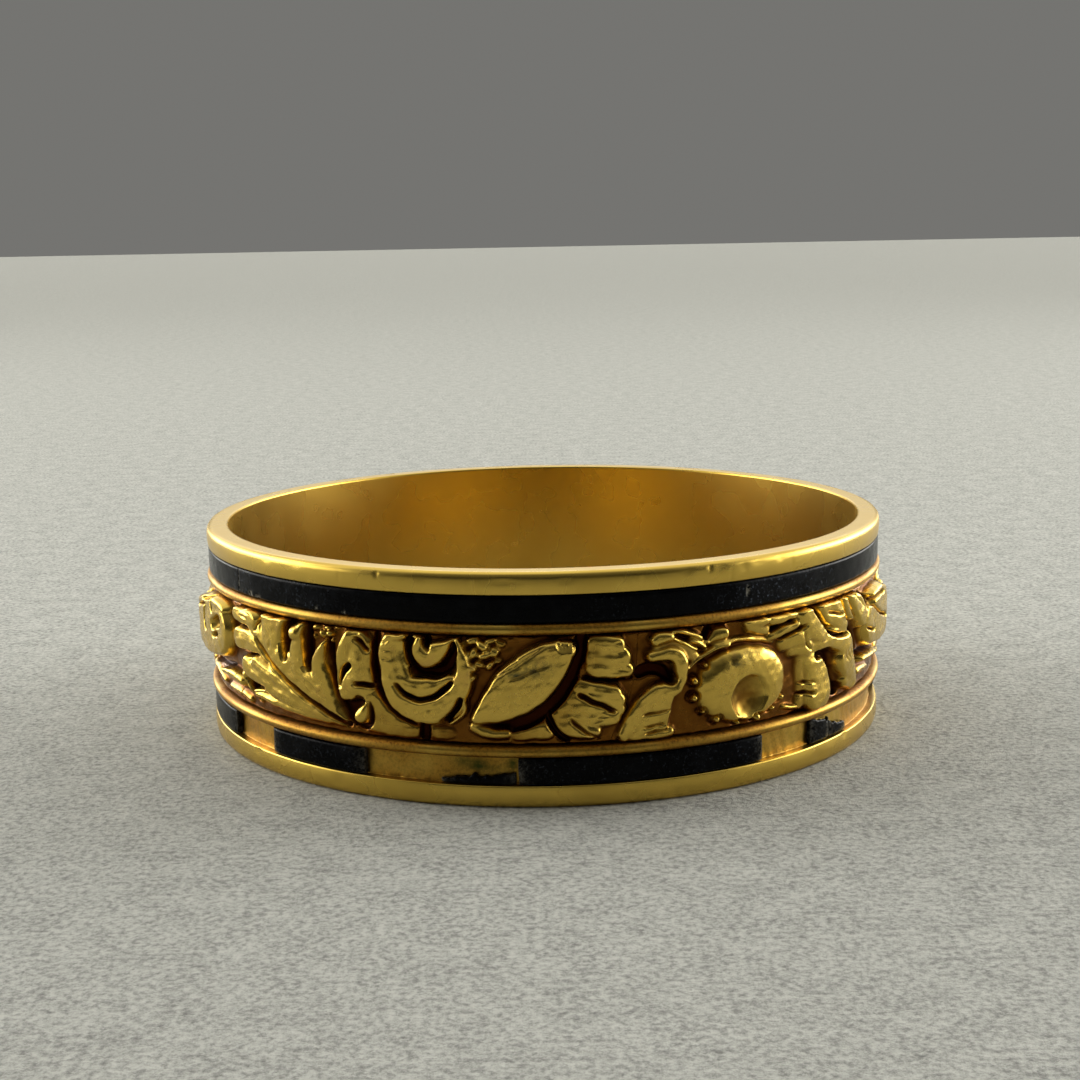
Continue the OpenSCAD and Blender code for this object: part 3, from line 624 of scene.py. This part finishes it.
def add_node(tree, kind, *terms, named=None, **settings):
    """Node of a kind with its settings, fed with terms: in the order of its live sockets, or by their names.

    A term is a plain value, another node's output, or another node, whose first live output is meant.
    """
    kind, ready = NODE_KINDS.get(kind, (kind, {}))
    node = tree.nodes.new("ShaderNode" + kind)
    for setting, value in {**ready, **settings}.items():
        setattr(node, setting, value)
    sockets = [socket for socket in node.inputs if socket.enabled][:len(terms)]
    sockets += [node.inputs[name] for name in named or {}]
    for socket, term in zip(sockets, (*terms, *(named or {}).values())):
        if isinstance(term, bpy.types.Node):
            term = next(output for output in term.outputs if output.enabled)
        if isinstance(term, bpy.types.NodeSocket):
            tree.links.new(term, socket)
        else:
            socket.default_value = term
    return node


def new_material(name, *attributes):
    """Empty material, its tree's add_node, the place in mm on a piece, and the piece's named attributes."""
    material = bpy.data.materials.new(name)
    material.use_nodes = True
    material.node_tree.nodes.clear()
    add = partial(add_node, material.node_tree)
    place = add("stretch", add("TexCoord").outputs["Object"], (1 / MM,) * 3)
    values = [add("Attribute", attribute_name=label).outputs["Fac"] for label in attributes]
    return material, add, place, *values


def polished_gold(finish):
    """Old 18 carat gold, rolled to strip, soldered, polished and worn for two centuries.

    The eye gets a rich yellow metal with hairline scratches that run round the ring, softer where it was
    handled, brownish pickled gold where enamel has broken out, the same brown darkening the wires and the
    gold beside them, and a little green glass left on it.
    """
    material, add, place, residue, film = new_material("polished_worn_gold", "residue", "film")
    cloud = add("noise", place, 0.8, 2, 0.45)
    grain = add("noise", place, 14.0, 5, 0.65)
    hairs = add("noise", add("stretch", add("UVMap", uv_map="lengths"), (0.5, 22.0, 1.0)), 1.0, 3, 0.6)
    # brown where enamel sat or was lost, and the same brown darkening the wires and the gold beside them
    stain = add("multiply", residue, add("range", cloud, 0.2, 0.6, 0.35, 1.0))
    glass = add("multiply", film, add("range", grain, 0.20, 0.46))
    burnt = add("blend", add("range", grain, 0.4, 0.7), colour("A67628"), colour("5E3A10"))
    metal = add("blend", add("range", cloud, 0.3, 0.8, 0.0, 0.16), finish.gold, finish.deep_gold)
    metal = add("blend", glass, add("blend", stain, metal, burnt), colour("38421C"))
    dull = add("add", add("range", cloud, 0.3, 0.8, 0.26, 0.31), add("multiply", stain, 0.2))
    height = add("add", add("multiply", hairs, 0.30), add("multiply", grain, 0.15))
    height = add("add", height, add("multiply", stain, grain))
    bump = add("Bump", named={"Height": height, "Distance": 0.0022 * MM})
    add("OutputMaterial", add("BsdfPrincipled", metal, 1.0, dull, named={"Normal": bump}))
    return material


def chased_gold(finish):
    """Cast gold, its leaves chased bright by hand, its ground made grimy and tarnished over two centuries and
    darkened further by painted shade.

    The eye gets pale yellow crests over deeper gold low down, partly painted light and shade; a copper tint
    on the slopes, partly a painted pinkish highlight; and brown to black in the hollows, where dirt and
    painted shade lie together. The chaser's punch marks are drawn some 0.06 mm across, about as fine as can
    be seen.
    """
    material, add, place, rise, stands_out, patina = new_material(
        "cast_and_chased_gold", "rise", "stands_out", "patina")
    cloud = add("noise", place, 1.6, 4, 0.6)
    lumps = add("noise", place, 5.0, 4, 0.6)
    grain = add("noise", place, 18.0, 4, 0.7)
    ragged = add("multiply", add("subtract", lumps, 0.5), 0.22)
    ragged_rise = add("add", rise, ragged)
    hollow = add("add", stands_out, add("multiply", ragged, 0.5))
    green = add("multiply", patina, add("range", lumps, 0.35, 0.6))
    # copper blush on the leaves' higher parts, partly a painted pinkish highlight
    blush = add("multiply", add("range", cloud, 0.55, 0.75, 0.0, 0.3), add("range", rise, 0.45, 0.7))
    # tarnish and painted shade on the low ground between the leaves
    ground = add("range", add("add", rise, add("multiply", ragged, 0.4)), 0.48, 0.30, 0.0, 0.85)
    # dirt and painted shade: the deepest hollows and the lowest ground turn brown to black
    deep = add("maximum", add("range", hollow, -0.10, -0.38), add("range", ragged_rise, 0.34, 0.04))
    # deeper gold low down and bright gold on the crests, partly painted light and shade
    metal = add("blend", add("range", ragged_rise, 0.25, 0.75), finish.deep_gold, finish.gold)
    # tarnish with painted shade on the ground and on the slopes into hollows, dirt with painted shade at the
    # bottom
    for cover, shade in ((green, colour("5B5534")), (blush, colour("B98052")), (ground, finish.tarnish),
                         (add("range", hollow, 0.02, -0.20), finish.tarnish), (deep, finish.grime)):
        metal = add("blend", cover, metal, shade)
    dull = add("range", hollow, -0.15, 0.05, 0.5, 0.24)
    height = add("add", add("multiply", lumps, 0.5), add("multiply", grain, 0.4))
    bump = add("Bump", named={"Height": height, "Distance": 0.008 * MM})
    add("OutputMaterial", add("BsdfPrincipled", metal, 1.0, dull, named={"Normal": bump}))
    return material


def black_enamel(finish):
    """Black champleve enamel: glass powder fired in the channel and stoned flush, now pitted and chipped.

    The eye gets a deep black gloss with a fine grain, dulled in patches, and pale glass where it has chipped.
    """
    material, add, place, chip, dulled = new_material("fired_black_enamel", "chip", "dulled")
    cloud = add("noise", place, 2.0, 4, 0.6)
    grain = add("noise", place, 11.0, 5, 0.7)
    spots = add("multiply", dulled, add("range", grain, 0.55, 0.72))
    bare = add("multiply", chip, add("range", grain, 0.4, 0.6))
    glass = add("blend", add("range", cloud, 0.4, 0.8), finish.enamel, colour("0C0D10"))
    glass = add("blend", bare, add("blend", spots, glass, colour("59606C")), colour("A29C8C"))
    rough = add("add", add("range", cloud, 0.3, 0.8, 0.10, 0.24), add("multiply", dulled, 0.22))
    rough = add("add", rough, add("multiply", chip, 0.3))
    height = add("add", grain, add("multiply", dulled, grain))
    bump = add("Bump", named={"Height": height, "Distance": 0.006 * MM})
    add("OutputMaterial", add("BsdfPrincipled", glass, 0.0, rough, 1.5,
                              named={"Specular IOR Level": 0.05, "Normal": bump}))
    return material


def grey_paper(shade):
    """Matt grey paper: soft mottle, grain some 0.3 mm across, a few flecks, and painted shadow towards the
    front.
    """
    material, add, place = new_material("matt_paper")
    mottle = add("noise", place, 1.1, 3, 0.6)
    grain = add("noise", place, 6.0, 5, 0.75)
    specks = add("range", add("noise", place, 2.1, 3, 0.55), 0.70, 0.76, 0.0, 0.45)
    pale, grey = ((*(share * part for part in shade[:3]), 1.0) for share in (1.16, 0.40))
    worn = add("range", add("add", add("multiply", mottle, 0.25), grain), 0.46, 0.86)
    base = add("blend", worn, pale, grey)
    nearness = add("SeparateXYZ", place).outputs["Y"]
    # painted shadow: the paper darkens towards the front, a little from just behind the ring and much more
    # from 22 mm in front of it
    shaded = add("add", add("range", nearness, 10.0, -30.0, 0.0, 0.18),
                 add("range", nearness, -22.0, -60.0, 0.0, 0.62))
    for cover, dark in ((specks, colour("5A554C")), (shaded, colour("1C1B1A"))):
        base = add("blend", cover, base, dark)
    bump = add("Bump", named={"Height": grain, "Distance": 0.07 * MM})
    add("OutputMaterial", add("BsdfPrincipled", base, 0.0, 0.92, named={"Normal": bump}))
    return material


# Settings


def length(name, text, value):
    """Length property shown in the scene's unit, from a default in millimetres."""
    return FloatProperty(name=name, description=text, default=value * MM, min=0.0, unit="LENGTH", precision=5)


def tint(name, text, code):
    """Colour property from an sRGB hex value."""
    return FloatVectorProperty(name=name, description=text, default=colour(code), min=0.0, max=1.0, size=4,
                               subtype="COLOR")


class RingSizes(PropertyGroup):
    """Sizes of the ring, which follow the solids."""
    bore_radius: length("Bore radius", "Inside radius of the ring", 9.0)
    rim_radius: length("Rim radius", "Outside radius of the plain rims", 9.6)
    total_height: length("Height", "Height of the ring on its side", (BAND_HIGH.z - BAND_LOW.z) / MM)
    rim_height: length("Rim height", "Height of each plain rim", 0.55)
    channel_height: length("Channel height", "Height of each enamel channel", 0.70)
    channel_depth: length("Channel depth", "Depth of the channels below the rims", 0.24)
    wire_height: length("Wire height", "Thickness of the half-round wires", 0.28)
    wire_proud: length("Wire proud", "How far the wires stand proud of the rims", 0.03)
    ground_radius: length("Ground radius", "Radius of the ground behind the cast leaves", 9.28)
    leaf_radius: length("Leaf radius", "Radius of the highest cast leaves", 9.80)
    enamel_set: length("Enamel set", "How far the enamel's face lies below the rims", 0.02)
    enamel_gap: length("Enamel gap", "Gap between enamel and gold", 0.02)


class RingFinish(PropertyGroup):
    """Colours of the ring's metals and glass."""
    gold: tint("Gold", "Bright worn gold", "D6B453")
    # deep gold: random tone on the shank; on the frieze it also paints shade low down
    deep_gold: tint("Deep gold", "Gold in the softer hollows", "9A7126")
    # tarnish and painted shade on the frieze's low ground and on its slopes into hollows
    tarnish: tint("Tarnish", "Copper-brown tarnish on the slopes", "6A3E14")
    # dirt and painted shade in the frieze's deepest hollows
    grime: tint("Grime", "Grime in the deepest hollows", "341506")
    enamel: tint("Enamel", "Black enamel", "030304")


class StageSettings(PropertyGroup):
    """Floor and light."""
    floor: tint("Floor", "Pale paper floor", "BBBBB3")
    light: FloatProperty(name="Light", description="Strength of the soft boxes", default=1.0, min=0.0)


def sizes_in_mm(context):
    """The ring's sizes in millimetres, by name."""
    sizes = context.scene.ring_sizes
    return {name: getattr(sizes, name) / MM for name in RingSizes.__annotations__}


# Pieces

# Nicks and dents in the rims. Columns: angle, height in mm, half width in degrees, half height in mm,
# depth in mm
DENTS = [[-25.0, 5.66, 0.25, 0.04, 0.03], [28.2, 5.34, 0.22, 0.12, 0.04], [24.6, 5.66, 0.30, 0.04, 0.03],
         [26.3, 5.64, 1.2, 0.03, 0.026], [30.5, 5.62, 0.7, 0.03, 0.034], [33.0, 5.64, 1.6, 0.03, 0.022],
         [21.0, 5.64, 0.9, 0.03, 0.018], [37.5, 5.65, 0.8, 0.03, 0.015], [-40.0, 5.66, 1.3, 0.05, 0.010],
         [-18.0, 5.64, 0.9, 0.03, 0.010], [-6.0, 5.62, 2.0, 0.03, 0.012], [3.0, 5.63, 1.2, 0.03, 0.012],
         [-47.0, 5.66, 0.9, 0.04, 0.012], [-10.5, 5.40, 0.22, 0.14, 0.012], [14.0, 5.42, 0.22, 0.16, 0.012],
         [40.0, 5.45, 0.24, 0.12, 0.015], [-31.5, 5.44, 0.22, 0.15, 0.012], [12.0, 0.25, 1.6, 0.10, 0.015],
         [-33.0, 0.30, 1.2, 0.12, 0.02], [47.0, 0.22, 1.5, 0.10, 0.02], [-52.0, 0.48, 0.7, 0.05, 0.03],
         [55.0, 0.50, 0.6, 0.05, 0.03]]
# Where the lower enamel is lost, wholly or in part. Columns: start angle, end angle
LOST = [[-60.6, -47.9], [-28.3, -4.6], [34.3, 45.4], [56.7, 84.0]]
# Green glass left thin on the lower channel's floor. Columns: angle, height as a share of the channel's,
# half width in degrees, half height as a share, strength
FILMS = [[-13.0, 0.78, 1.3, 0.22, 0.7], [-10.4, 0.66, 1.6, 0.26, 1.0], [-7.8, 0.52, 1.6, 0.10, 0.8],
         [-5.2, 0.72, 0.9, 0.26, 1.0]]

MM_PER_DEGREE = 0.168  # a degree on the ring's outer face


def shank_outline(size):
    """Closed anticlockwise outline of the gold without its leaves: bore, rims, channels, half-round wires."""
    rim, channel = size["rim_radius"], size["rim_radius"] - size["channel_depth"]
    wire = size["wire_height"] / 2
    wire_centre = rim + size["wire_proud"] - wire
    low = size["rim_height"] + size["channel_height"]
    turn = np.radians(np.linspace(-90, 90, 13))
    corners = [[size["bore_radius"], 0, 0.06], [rim, 0, 0.14], [rim, size["rim_height"], 0.03],
               [channel, size["rim_height"], 0.02], [channel, low, 0.02]]
    corners += [[wire_centre + wire * np.cos(t), low + wire + wire * np.sin(t), 0] for t in turn]
    corners += [[size["ground_radius"], low + 2 * wire, 0.02]]
    corners += [[r, size["total_height"] - z, rounding] for r, z, rounding in corners[::-1]]
    return fill_in(round_corners(corners), longest=0.14, longest_bore=0.8, bore_radius=size["bore_radius"])


class RING_OT_shank(Operator):
    """Adds the gold shank: bore, rims, enamel channels and wires, with the nicks of wear"""
    bl_idname = "mourning_ring.shank"
    bl_label = "Gold shank"

    # the front, so many degrees each way, has finer columns than either side's way to the back
    front_half, front_columns, side_columns = 64.0, 410, 100
    crown_depth = 0.026  # in mm: how far the rims fall away to their edges
    # depth and length in mm of the waves of wear outside, and of those that make the channels rough
    wear_depth, wear_length, rough_depth, rough_length = 0.008, 2.7, 0.02, 0.33
    # in mm: how far out from the bore the wear sets in, and how deep the skin of a rim is
    wear_start, rim_skin = 0.3, 0.12
    # in mm from a wire's middle: how far its darkening reaches, and where its flanks' darkening starts, is
    # full and ends
    wire_reach, flank_start, flank_full, flank_end = 0.15, 0.05, 0.12, 0.16
    # strength of the stain in the channels, how much more where enamel is lost, and of the darkening on the
    # wires and on their flanks
    channel_stain, lost_stain, wire_stain, flank_stain = 0.3, 0.5, 0.75, 0.5
    lost_fade = 0.8  # degrees over which the stain of lost enamel fades

    def execute(self, context):
        size = sizes_in_mm(context)
        outline = shank_outline(size)
        ends = (-180, -self.front_half, self.front_half, 180)
        counts = (self.side_columns, self.front_columns, self.side_columns)
        angle = np.concatenate([np.linspace(start, end, count, endpoint=False)
                                for start, end, count in zip(ends, ends[1:], counts)])[:, None]
        radius, z = outline.T[:, None]
        along = angle * MM_PER_DEGREE
        lower = z < size["total_height"] / 2
        up = np.minimum(z, size["total_height"] - z)
        outside = np.clip((radius - size["bore_radius"]) / self.wear_start, 0, 1)
        outer = outside > 0.5
        on_rim = (radius > size["rim_radius"] - self.rim_skin) & (up < size["rim_height"] + 0.005)
        crown = on_rim * self.crown_depth * (2 * up / size["rim_height"] - 1) ** 2
        channel_share = (up - size["rim_height"]) / size["channel_height"]
        in_channel = outer & (radius < size["rim_radius"] - size["channel_depth"] / 2)
        in_channel = in_channel & (np.abs(channel_share - 0.5) < 0.515)
        worn = (bells(angle, z, DENTS) + self.wear_depth * ripple(along, z, self.wear_length)) * outside
        rough = in_channel * self.rough_depth * ripple(along, z, self.rough_length)
        beyond = [np.abs(angle - (start + end) / 2) - (end - start) / 2 for start, end in LOST]
        lost = sum(np.exp(-(np.clip(degrees, 0, None) / self.lost_fade) ** 2) for degrees in beyond)
        above_wire = up - size["rim_height"] - size["channel_height"] - size["wire_height"] / 2
        on_wire = outer * (np.abs(above_wire) < self.wire_reach)
        towards_full = (np.abs(above_wire) - self.flank_start) / (self.flank_full - self.flank_start)
        flank = outer * (above_wire > -self.flank_end) * np.clip(towards_full, 0, 1)
        residue = in_channel * (self.channel_stain + self.lost_stain * lower * np.clip(lost, 0, 1))
        # the wires and the gold beside them are darkened the same brown
        residue = residue + self.wire_stain * on_wire + self.flank_stain * flank
        film = in_channel * lower * bells(angle, channel_share, FILMS)
        points = polar(radius - crown - worn + rough, angle, z)
        across = np.radians(np.append(angle, 180)) * size["rim_radius"]
        material = polished_gold(context.scene.ring_finish)
        add_piece("gold_shank", points, across, lengths_along(outline), material, ["band"], True,
                  {"residue": residue, "film": film})
        return {"FINISHED"}


# Greenish patina on the leaves. Columns: angle, height, half width in degrees, half height, strength
PATINA = [[-1.6, 0.72, 2.4, 0.07, 1], [29.4, 0.66, 1.8, 0.05, 1], [28.0, 0.63, 1.2, 0.03, 1],
          [-4.5, 0.66, 1.2, 0.03, 1]]


class RING_OT_frieze(Operator):
    """Adds the cast frieze of flowers and leaves in four lengths, each let into the shank behind it"""
    bl_idname = "mourning_ring.frieze"
    bl_label = "Cast frieze"

    rows = 131
    columns_per_degree = 6.6
    # in mm: how far the back goes into the wall and behind the wires
    let_in, lap = 0.1, 0.04
    # in mm: how far the relief's lowest and highest points keep inside the ground and leaf radius
    ground_lift, leaf_drop = 0.02, 0.01
    surroundings = 6, 5  # rows and columns each way that a point is compared with
    # in mm: depth and length of the soft waves left by the casting
    waves = ((0.014, 0.9), (0.008, 0.41))

    def execute(self, context):
        size = sizes_in_mm(context)
        low = size["rim_height"] + size["channel_height"] + size["wire_height"]
        tall = size["total_height"] - 2 * low
        height = np.linspace(0, 1, self.rows)[:, None]
        seam = np.interp(height, SEAM[:, 0], SEAM[:, 1])
        start = np.full(height.shape, PATTERN_START)
        material = chased_gold(context.scene.ring_finish)
        ground, leaf = size["ground_radius"] + self.ground_lift, size["leaf_radius"] - self.leaf_drop
        for part, (left, right) in {"a": (start, seam), "b": (seam, start + REPEAT)}.items():
            columns = int(self.columns_per_degree * (right - left).mean())
            angle = left + (right - left) * np.linspace(0, 1, columns)[None, :]
            relief = cast_relief(angle, height)
            along, z = angle * MM_PER_DEGREE, height * tall
            uneven = sum(deep * ripple(along, z, long) for deep, long in self.waves)
            radius = ground + (leaf - ground) * relief + uneven * np.clip(relief * 3, 0.2, 1)
            # stands_out: how far a point stands above its surroundings; the frieze's colour paints shade
            # where it lies below
            looks = {"rise": relief, "stands_out": relief - blurred(relief, *self.surroundings),
                     "patina": np.clip(bells(angle, height, PATINA), 0, 1)}
            # each column goes up the face, then down by four more points behind the wires and in the wall
            inside = np.full(columns, size["ground_radius"] - self.let_in)
            back_radius = [radius[-1], inside, inside, radius[0]]
            back_z = low + np.array([tall + self.lap, tall + self.lap, -self.lap, -self.lap])[:, None]
            radius = np.vstack([radius, back_radius])
            z = np.vstack([low + z, back_z])
            angle = np.vstack([angle, angle[[-1, -1, 0, 0]]])
            looks = {label: np.vstack([value, np.zeros((4, columns))]).T for label, value in looks.items()}
            across = np.radians(np.linspace(left.mean(), right.mean(), columns + 1)) * size["leaf_radius"]
            up = np.linspace(0, tall + 1, self.rows + 5)
            for turn in (0, 1):
                points = polar(radius.T, angle.T + turn * REPEAT, z.T)
                add_piece(f"cast_frieze_{part}{turn + 1}", points, across, up, material, ["band"],
                          False, looks)
        return {"FINISHED"}


# Chips in the upper enamel. Columns: angle, share of its height, half width in degrees, half height as a
# share, depth in mm
CHIPS = [[-52.6, 0.10, 0.6, 0.09, 0.05], [-50.3, 0.06, 0.7, 0.07, 0.04], [-31.0, 0.08, 0.30, 0.07, 0.04],
         [-36.2, 0.12, 0.25, 0.06, 0.03], [31.3, 0.62, 0.28, 0.18, 0.04], [-56.2, 0.5, 0.12, 0.6, 0.04]]
# Dulled stretches of enamel. Columns: angle, half width in degrees, strength
DULLED = [[33.0, 6.0, 1.0], [44.0, 7.0, 0.6], [-40.0, 8.0, 0.5], [-55.0, 4.0, 0.7], [10.0, 5.0, 0.2]]
# The lower enamel's pieces: node, start and end angle, and the share of its height left at start and end
BROKEN = [("enamel_lower_1", 84.0, 299.4, 1.0, 1.0), ("enamel_lower_2", -47.9, -28.3, 1.0, 1.0),
          ("enamel_lower_3", -15.9, -4.6, 0.16, 0.42), ("enamel_lower_4", -4.3, 34.3, 1.0, 1.0),
          ("enamel_lower_5", 45.4, 50.85, 0.98, 0.80), ("enamel_lower_6", 50.9, 56.7, 0.60, 0.30)]
ENAMEL_EDGE = 0.05  # in mm: how wide and deep the face's edges are rounded


def enamel_section(low, high, face, back):
    """Radius and height of a closed section at each angle: a face rounded at its edges, and a flat back.

    The face keeps its radius but for a quarter circle along both edges.
    """
    share = np.concatenate([[0], (1 - np.cos(np.linspace(0.15, np.pi - 0.15, 13))) / 2, [1]])[None, :]
    z = low + (high - low) * share
    edge = np.clip(np.minimum(z - low, high - z) / ENAMEL_EDGE, 0, 1)
    radius = face - ENAMEL_EDGE * (1 - np.sqrt(1 - (1 - edge) ** 2))
    return np.hstack([radius, np.full((len(z), 2), back)]), np.hstack([z, z[:, -1:], z[:, :1]])


class RING_OT_enamel(Operator):
    """Adds the black enamel: the whole upper band and the broken pieces left in the lower channel"""
    bl_idname = "mourning_ring.enamel"
    bl_label = "Black enamel"

    columns, columns_per_degree, fewest_columns = 1600, 5, 40
    # in mm: how uneven the stoned face is, how far broken pieces are worn down, how deep a full chip is
    unevenness, worn_down, full_chip = 0.006, 0.05, 0.04
    face_length = 0.8  # in mm: length of the face's waves
    # shares of the channel's height: how much a broken height wavers, and the least that is left
    waver, least_left = 0.16, 0.08
    waver_length = 2.3  # in degrees
    # in degrees: how ragged the first and the last end of a broken piece are, and what they fade over
    ragged_start, ragged_end, least_fade, most_fade = 0.45, 0.27, 0.2, 1.5
    ragged_length = 0.5  # as a share of the channel's height
    edge_chip, broken_dullness = 0.25, 0.3

    def execute(self, context):
        size = sizes_in_mm(context)
        gap, face = size["enamel_gap"], size["rim_radius"] - size["enamel_set"]
        back = size["rim_radius"] - size["channel_depth"] + gap
        full = size["channel_height"] - 2 * gap
        material = black_enamel(context.scene.ring_finish)

        def add_enamel(name, node, ends, angle, radius, z, wear, looks):
            """Adds a piece between two angles, its front worn and uneven; a whole turn closes on itself."""
            wear = wear + self.unevenness * (1 + ripple(angle * MM_PER_DEGREE, z, self.face_length))
            radius = radius - (radius > back + ENAMEL_EDGE) * wear
            across = np.radians(np.linspace(*ends, len(z) + 1)) * face
            up = np.linspace(0, 2 * full, z.shape[1] + 1)
            add_piece(name, polar(radius, angle, z), across, up, material, [node],
                      ends == (-180, 180), looks)

        low = size["total_height"] - size["rim_height"] - size["channel_height"] + gap
        angle = np.linspace(-180, 180, self.columns, endpoint=False)[:, None]
        radius, z = enamel_section(np.full_like(angle, low), np.full_like(angle, low + full), face, back)
        share = (z - low) / full
        chips = sum(deep * np.exp(-((angle - a) / half_angle) ** 4 - ((share - h) / half_share) ** 4)
                    for a, h, half_angle, half_share, deep in CHIPS)
        dulled = sum(strength * np.exp(-((angle - a) / half) ** 2) for a, half, strength in DULLED)
        add_enamel("enamel_band_upper", "enamel_upper", (-180, 180), angle, radius, z, chips,
                   {"chip": np.clip(chips / self.full_chip, 0, 1), "dulled": np.clip(dulled, 0, 1)})
        low = size["rim_height"] + gap
        for node, start, end, share_start, share_end in BROKEN:
            columns = max(self.fewest_columns, int((end - start) * self.columns_per_degree))
            angle = np.linspace(start, end, columns)[:, None]
            share = np.linspace(share_start, share_end, columns)[:, None]
            broken = share < 0.99
            wavered = share + broken * self.waver * ripple(angle, 0, self.waver_length)
            high = low + full * np.clip(wavered, self.least_left, 1)
            radius, z = enamel_section(np.full_like(angle, low), high, face - self.worn_down * broken, back)
            ragged = np.abs(ripple((z - low) / full, start, self.ragged_length))
            fade = np.clip((end - start) / 4, self.least_fade, self.most_fade)
            near_start, near_end = np.exp(-(angle - start) / fade), np.exp(-(end - angle) / fade)
            edge = np.clip(near_start + near_end, 0, 1) ** 2
            angle = angle + ragged * (self.ragged_start * near_start - self.ragged_end * near_end)
            add_enamel("broken_" + node, node, (start, end), angle, radius, z, self.worn_down * edge,
                       {"chip": self.edge_chip * edge, "dulled": self.broken_dullness})
        return {"FINISHED"}


# Stage


def look_along(back, roll=0.0):
    """Turn whose back points along the given direction, its right side level but for a roll in radians."""
    back = Vector(back).normalized()
    right = Vector((0, 0, 1)).cross(back).normalized()
    up = back.cross(right)
    right, up = right * np.cos(roll) - up * np.sin(roll), right * np.sin(roll) + up * np.cos(roll)
    return Matrix((right, up, back)).transposed().to_4x4()


# Soft boxes. Columns: name, place in mm, width and height in mm, power in watts
SOFT_BOXES = [("left_soft_box", (-200, 60, 100), 120, 120, 0.16),
              ("right_soft_box", (210, 70, 80), 120, 120, 0.22)]


class RING_OT_stage(Operator):
    """Adds the pale floor, the soft boxes, the grey surround and the camera"""
    bl_idname = "mourning_ring.stage"
    bl_label = "Stage"

    floor_half = 2.0  # in metres
    # the photo's camera: target, distance and lens in mm, angle above the floor and roll in radians
    camera_target, camera_distance = (-0.088, 0.0, 4.863), 49.588
    camera_elevation, camera_roll, camera_lens = 0.1772, 0.0189, 56.709

    def execute(self, context):
        scene, settings = context.scene, context.scene.ring_stage
        mesh = bpy.data.meshes.new("paper_floor")
        half = self.floor_half
        corners = [(-half, -half, 0), (half, -half, 0), (half, half, 0), (-half, half, 0)]
        mesh.from_pydata(corners, [], [(0, 1, 2, 3)])
        mesh.materials.append(grey_paper(settings.floor))
        floor = add_object("paper_floor", mesh)
        for name, place, width, height, power in SOFT_BOXES:
            lamp = bpy.data.lights.new(name, "AREA")
            lamp.shape, lamp.size, lamp.size_y = "RECTANGLE", width * MM, height * MM
            lamp.energy = power * settings.light
            add_object(name, lamp, Matrix.Translation(Vector(place) * MM) @ look_along(place))
        scene.world = self.surround()
        data = bpy.data.cameras.new("camera")
        data.lens, data.clip_start, data.clip_end = self.camera_lens, 0.001, 10.0
        back = Vector((0, -np.cos(self.camera_elevation), np.sin(self.camera_elevation)))
        eye = (Vector(self.camera_target) + back * self.camera_distance) * MM
        stand = Matrix.Translation(eye) @ look_along(back, self.camera_roll)
        scene.camera = add_object("camera", data, stand)
        scene.view_settings.view_transform = "Standard"
        return {"FINISHED"}

    def surround(self):
        """World of soft light: dim backdrop, ceiling, a window on either side, a low light behind the ring.

        Each is a strength that fades smoothly with a ray's direction, and they are added up.
        """
        world = bpy.data.worlds.new("grey_surround")
        world.use_nodes = True
        world.node_tree.nodes.clear()
        add = partial(add_node, world.node_tree)
        way = add("SeparateXYZ", add("TexCoord").outputs["Generated"]).outputs
        strength = add("range", way["Y"], -0.4, 0.3, 0.03, 0.21)
        # each fade: the axis it follows, its ends along it and the strengths there, 0 and 1 if none are given
        ceiling = [("Z", 0.2, 0.6, 0.0, 1.15), ("Y", -0.6, 0.3, 0.12, 1.0)]
        windows = [("X", 0.42, 0.70, 0.0, 6.6), ("Z", 0.45, 0.25), ("Y", -0.55, 0.20)]
        skyline = [("Z", 0.14, 0.24, 0.0, 1.7), ("Z", 0.55, 0.35), ("Y", 0.45, 0.80)]
        for light in (ceiling, windows, skyline):
            product = 1.0
            for axis, *limits in light:
                along = add("absolute", way["X"]) if axis == "X" else way[axis]
                product = add("multiply", product, add("range", along, *limits))
            strength = add("add", strength, product)
        add("OutputWorld", add("Background", colour("ECEBE5"), strength))
        return world


class RING_PT_panel(Panel):
    """Sidebar panel with the ring's sizes, colours and building steps"""
    bl_label = "Mourning ring"
    bl_idname = "RING_PT_panel"
    bl_space_type = "VIEW_3D"
    bl_region_type = "UI"
    bl_category = "Ring"

    def draw(self, context):
        for group, kind in GROUPS.items():
            settings = getattr(context.scene, group)
            for name in kind.__annotations__:
                self.layout.prop(settings, name)
        for step in STEPS:
            self.layout.operator(step.bl_idname)


GROUPS = {"ring_sizes": RingSizes, "ring_finish": RingFinish, "ring_stage": StageSettings}
STEPS = (RING_OT_shank, RING_OT_frieze, RING_OT_enamel, RING_OT_stage)
CLASSES = (*GROUPS.values(), *STEPS, RING_PT_panel)


def register():
    for kind in CLASSES:
        bpy.utils.register_class(kind)
    for group, kind in GROUPS.items():
        setattr(bpy.types.Scene, group, PointerProperty(type=kind))


def unregister():
    for group in GROUPS:
        delattr(bpy.types.Scene, group)
    for kind in reversed(CLASSES):
        bpy.utils.unregister_class(kind)


def main():
    """Registers the add-on and builds every piece in order."""
    register()
    bpy.ops.mourning_ring.shank()
    bpy.ops.mourning_ring.frieze()
    bpy.ops.mourning_ring.enamel()
    bpy.ops.mourning_ring.stage()


if __name__ == "__main__":
    main()
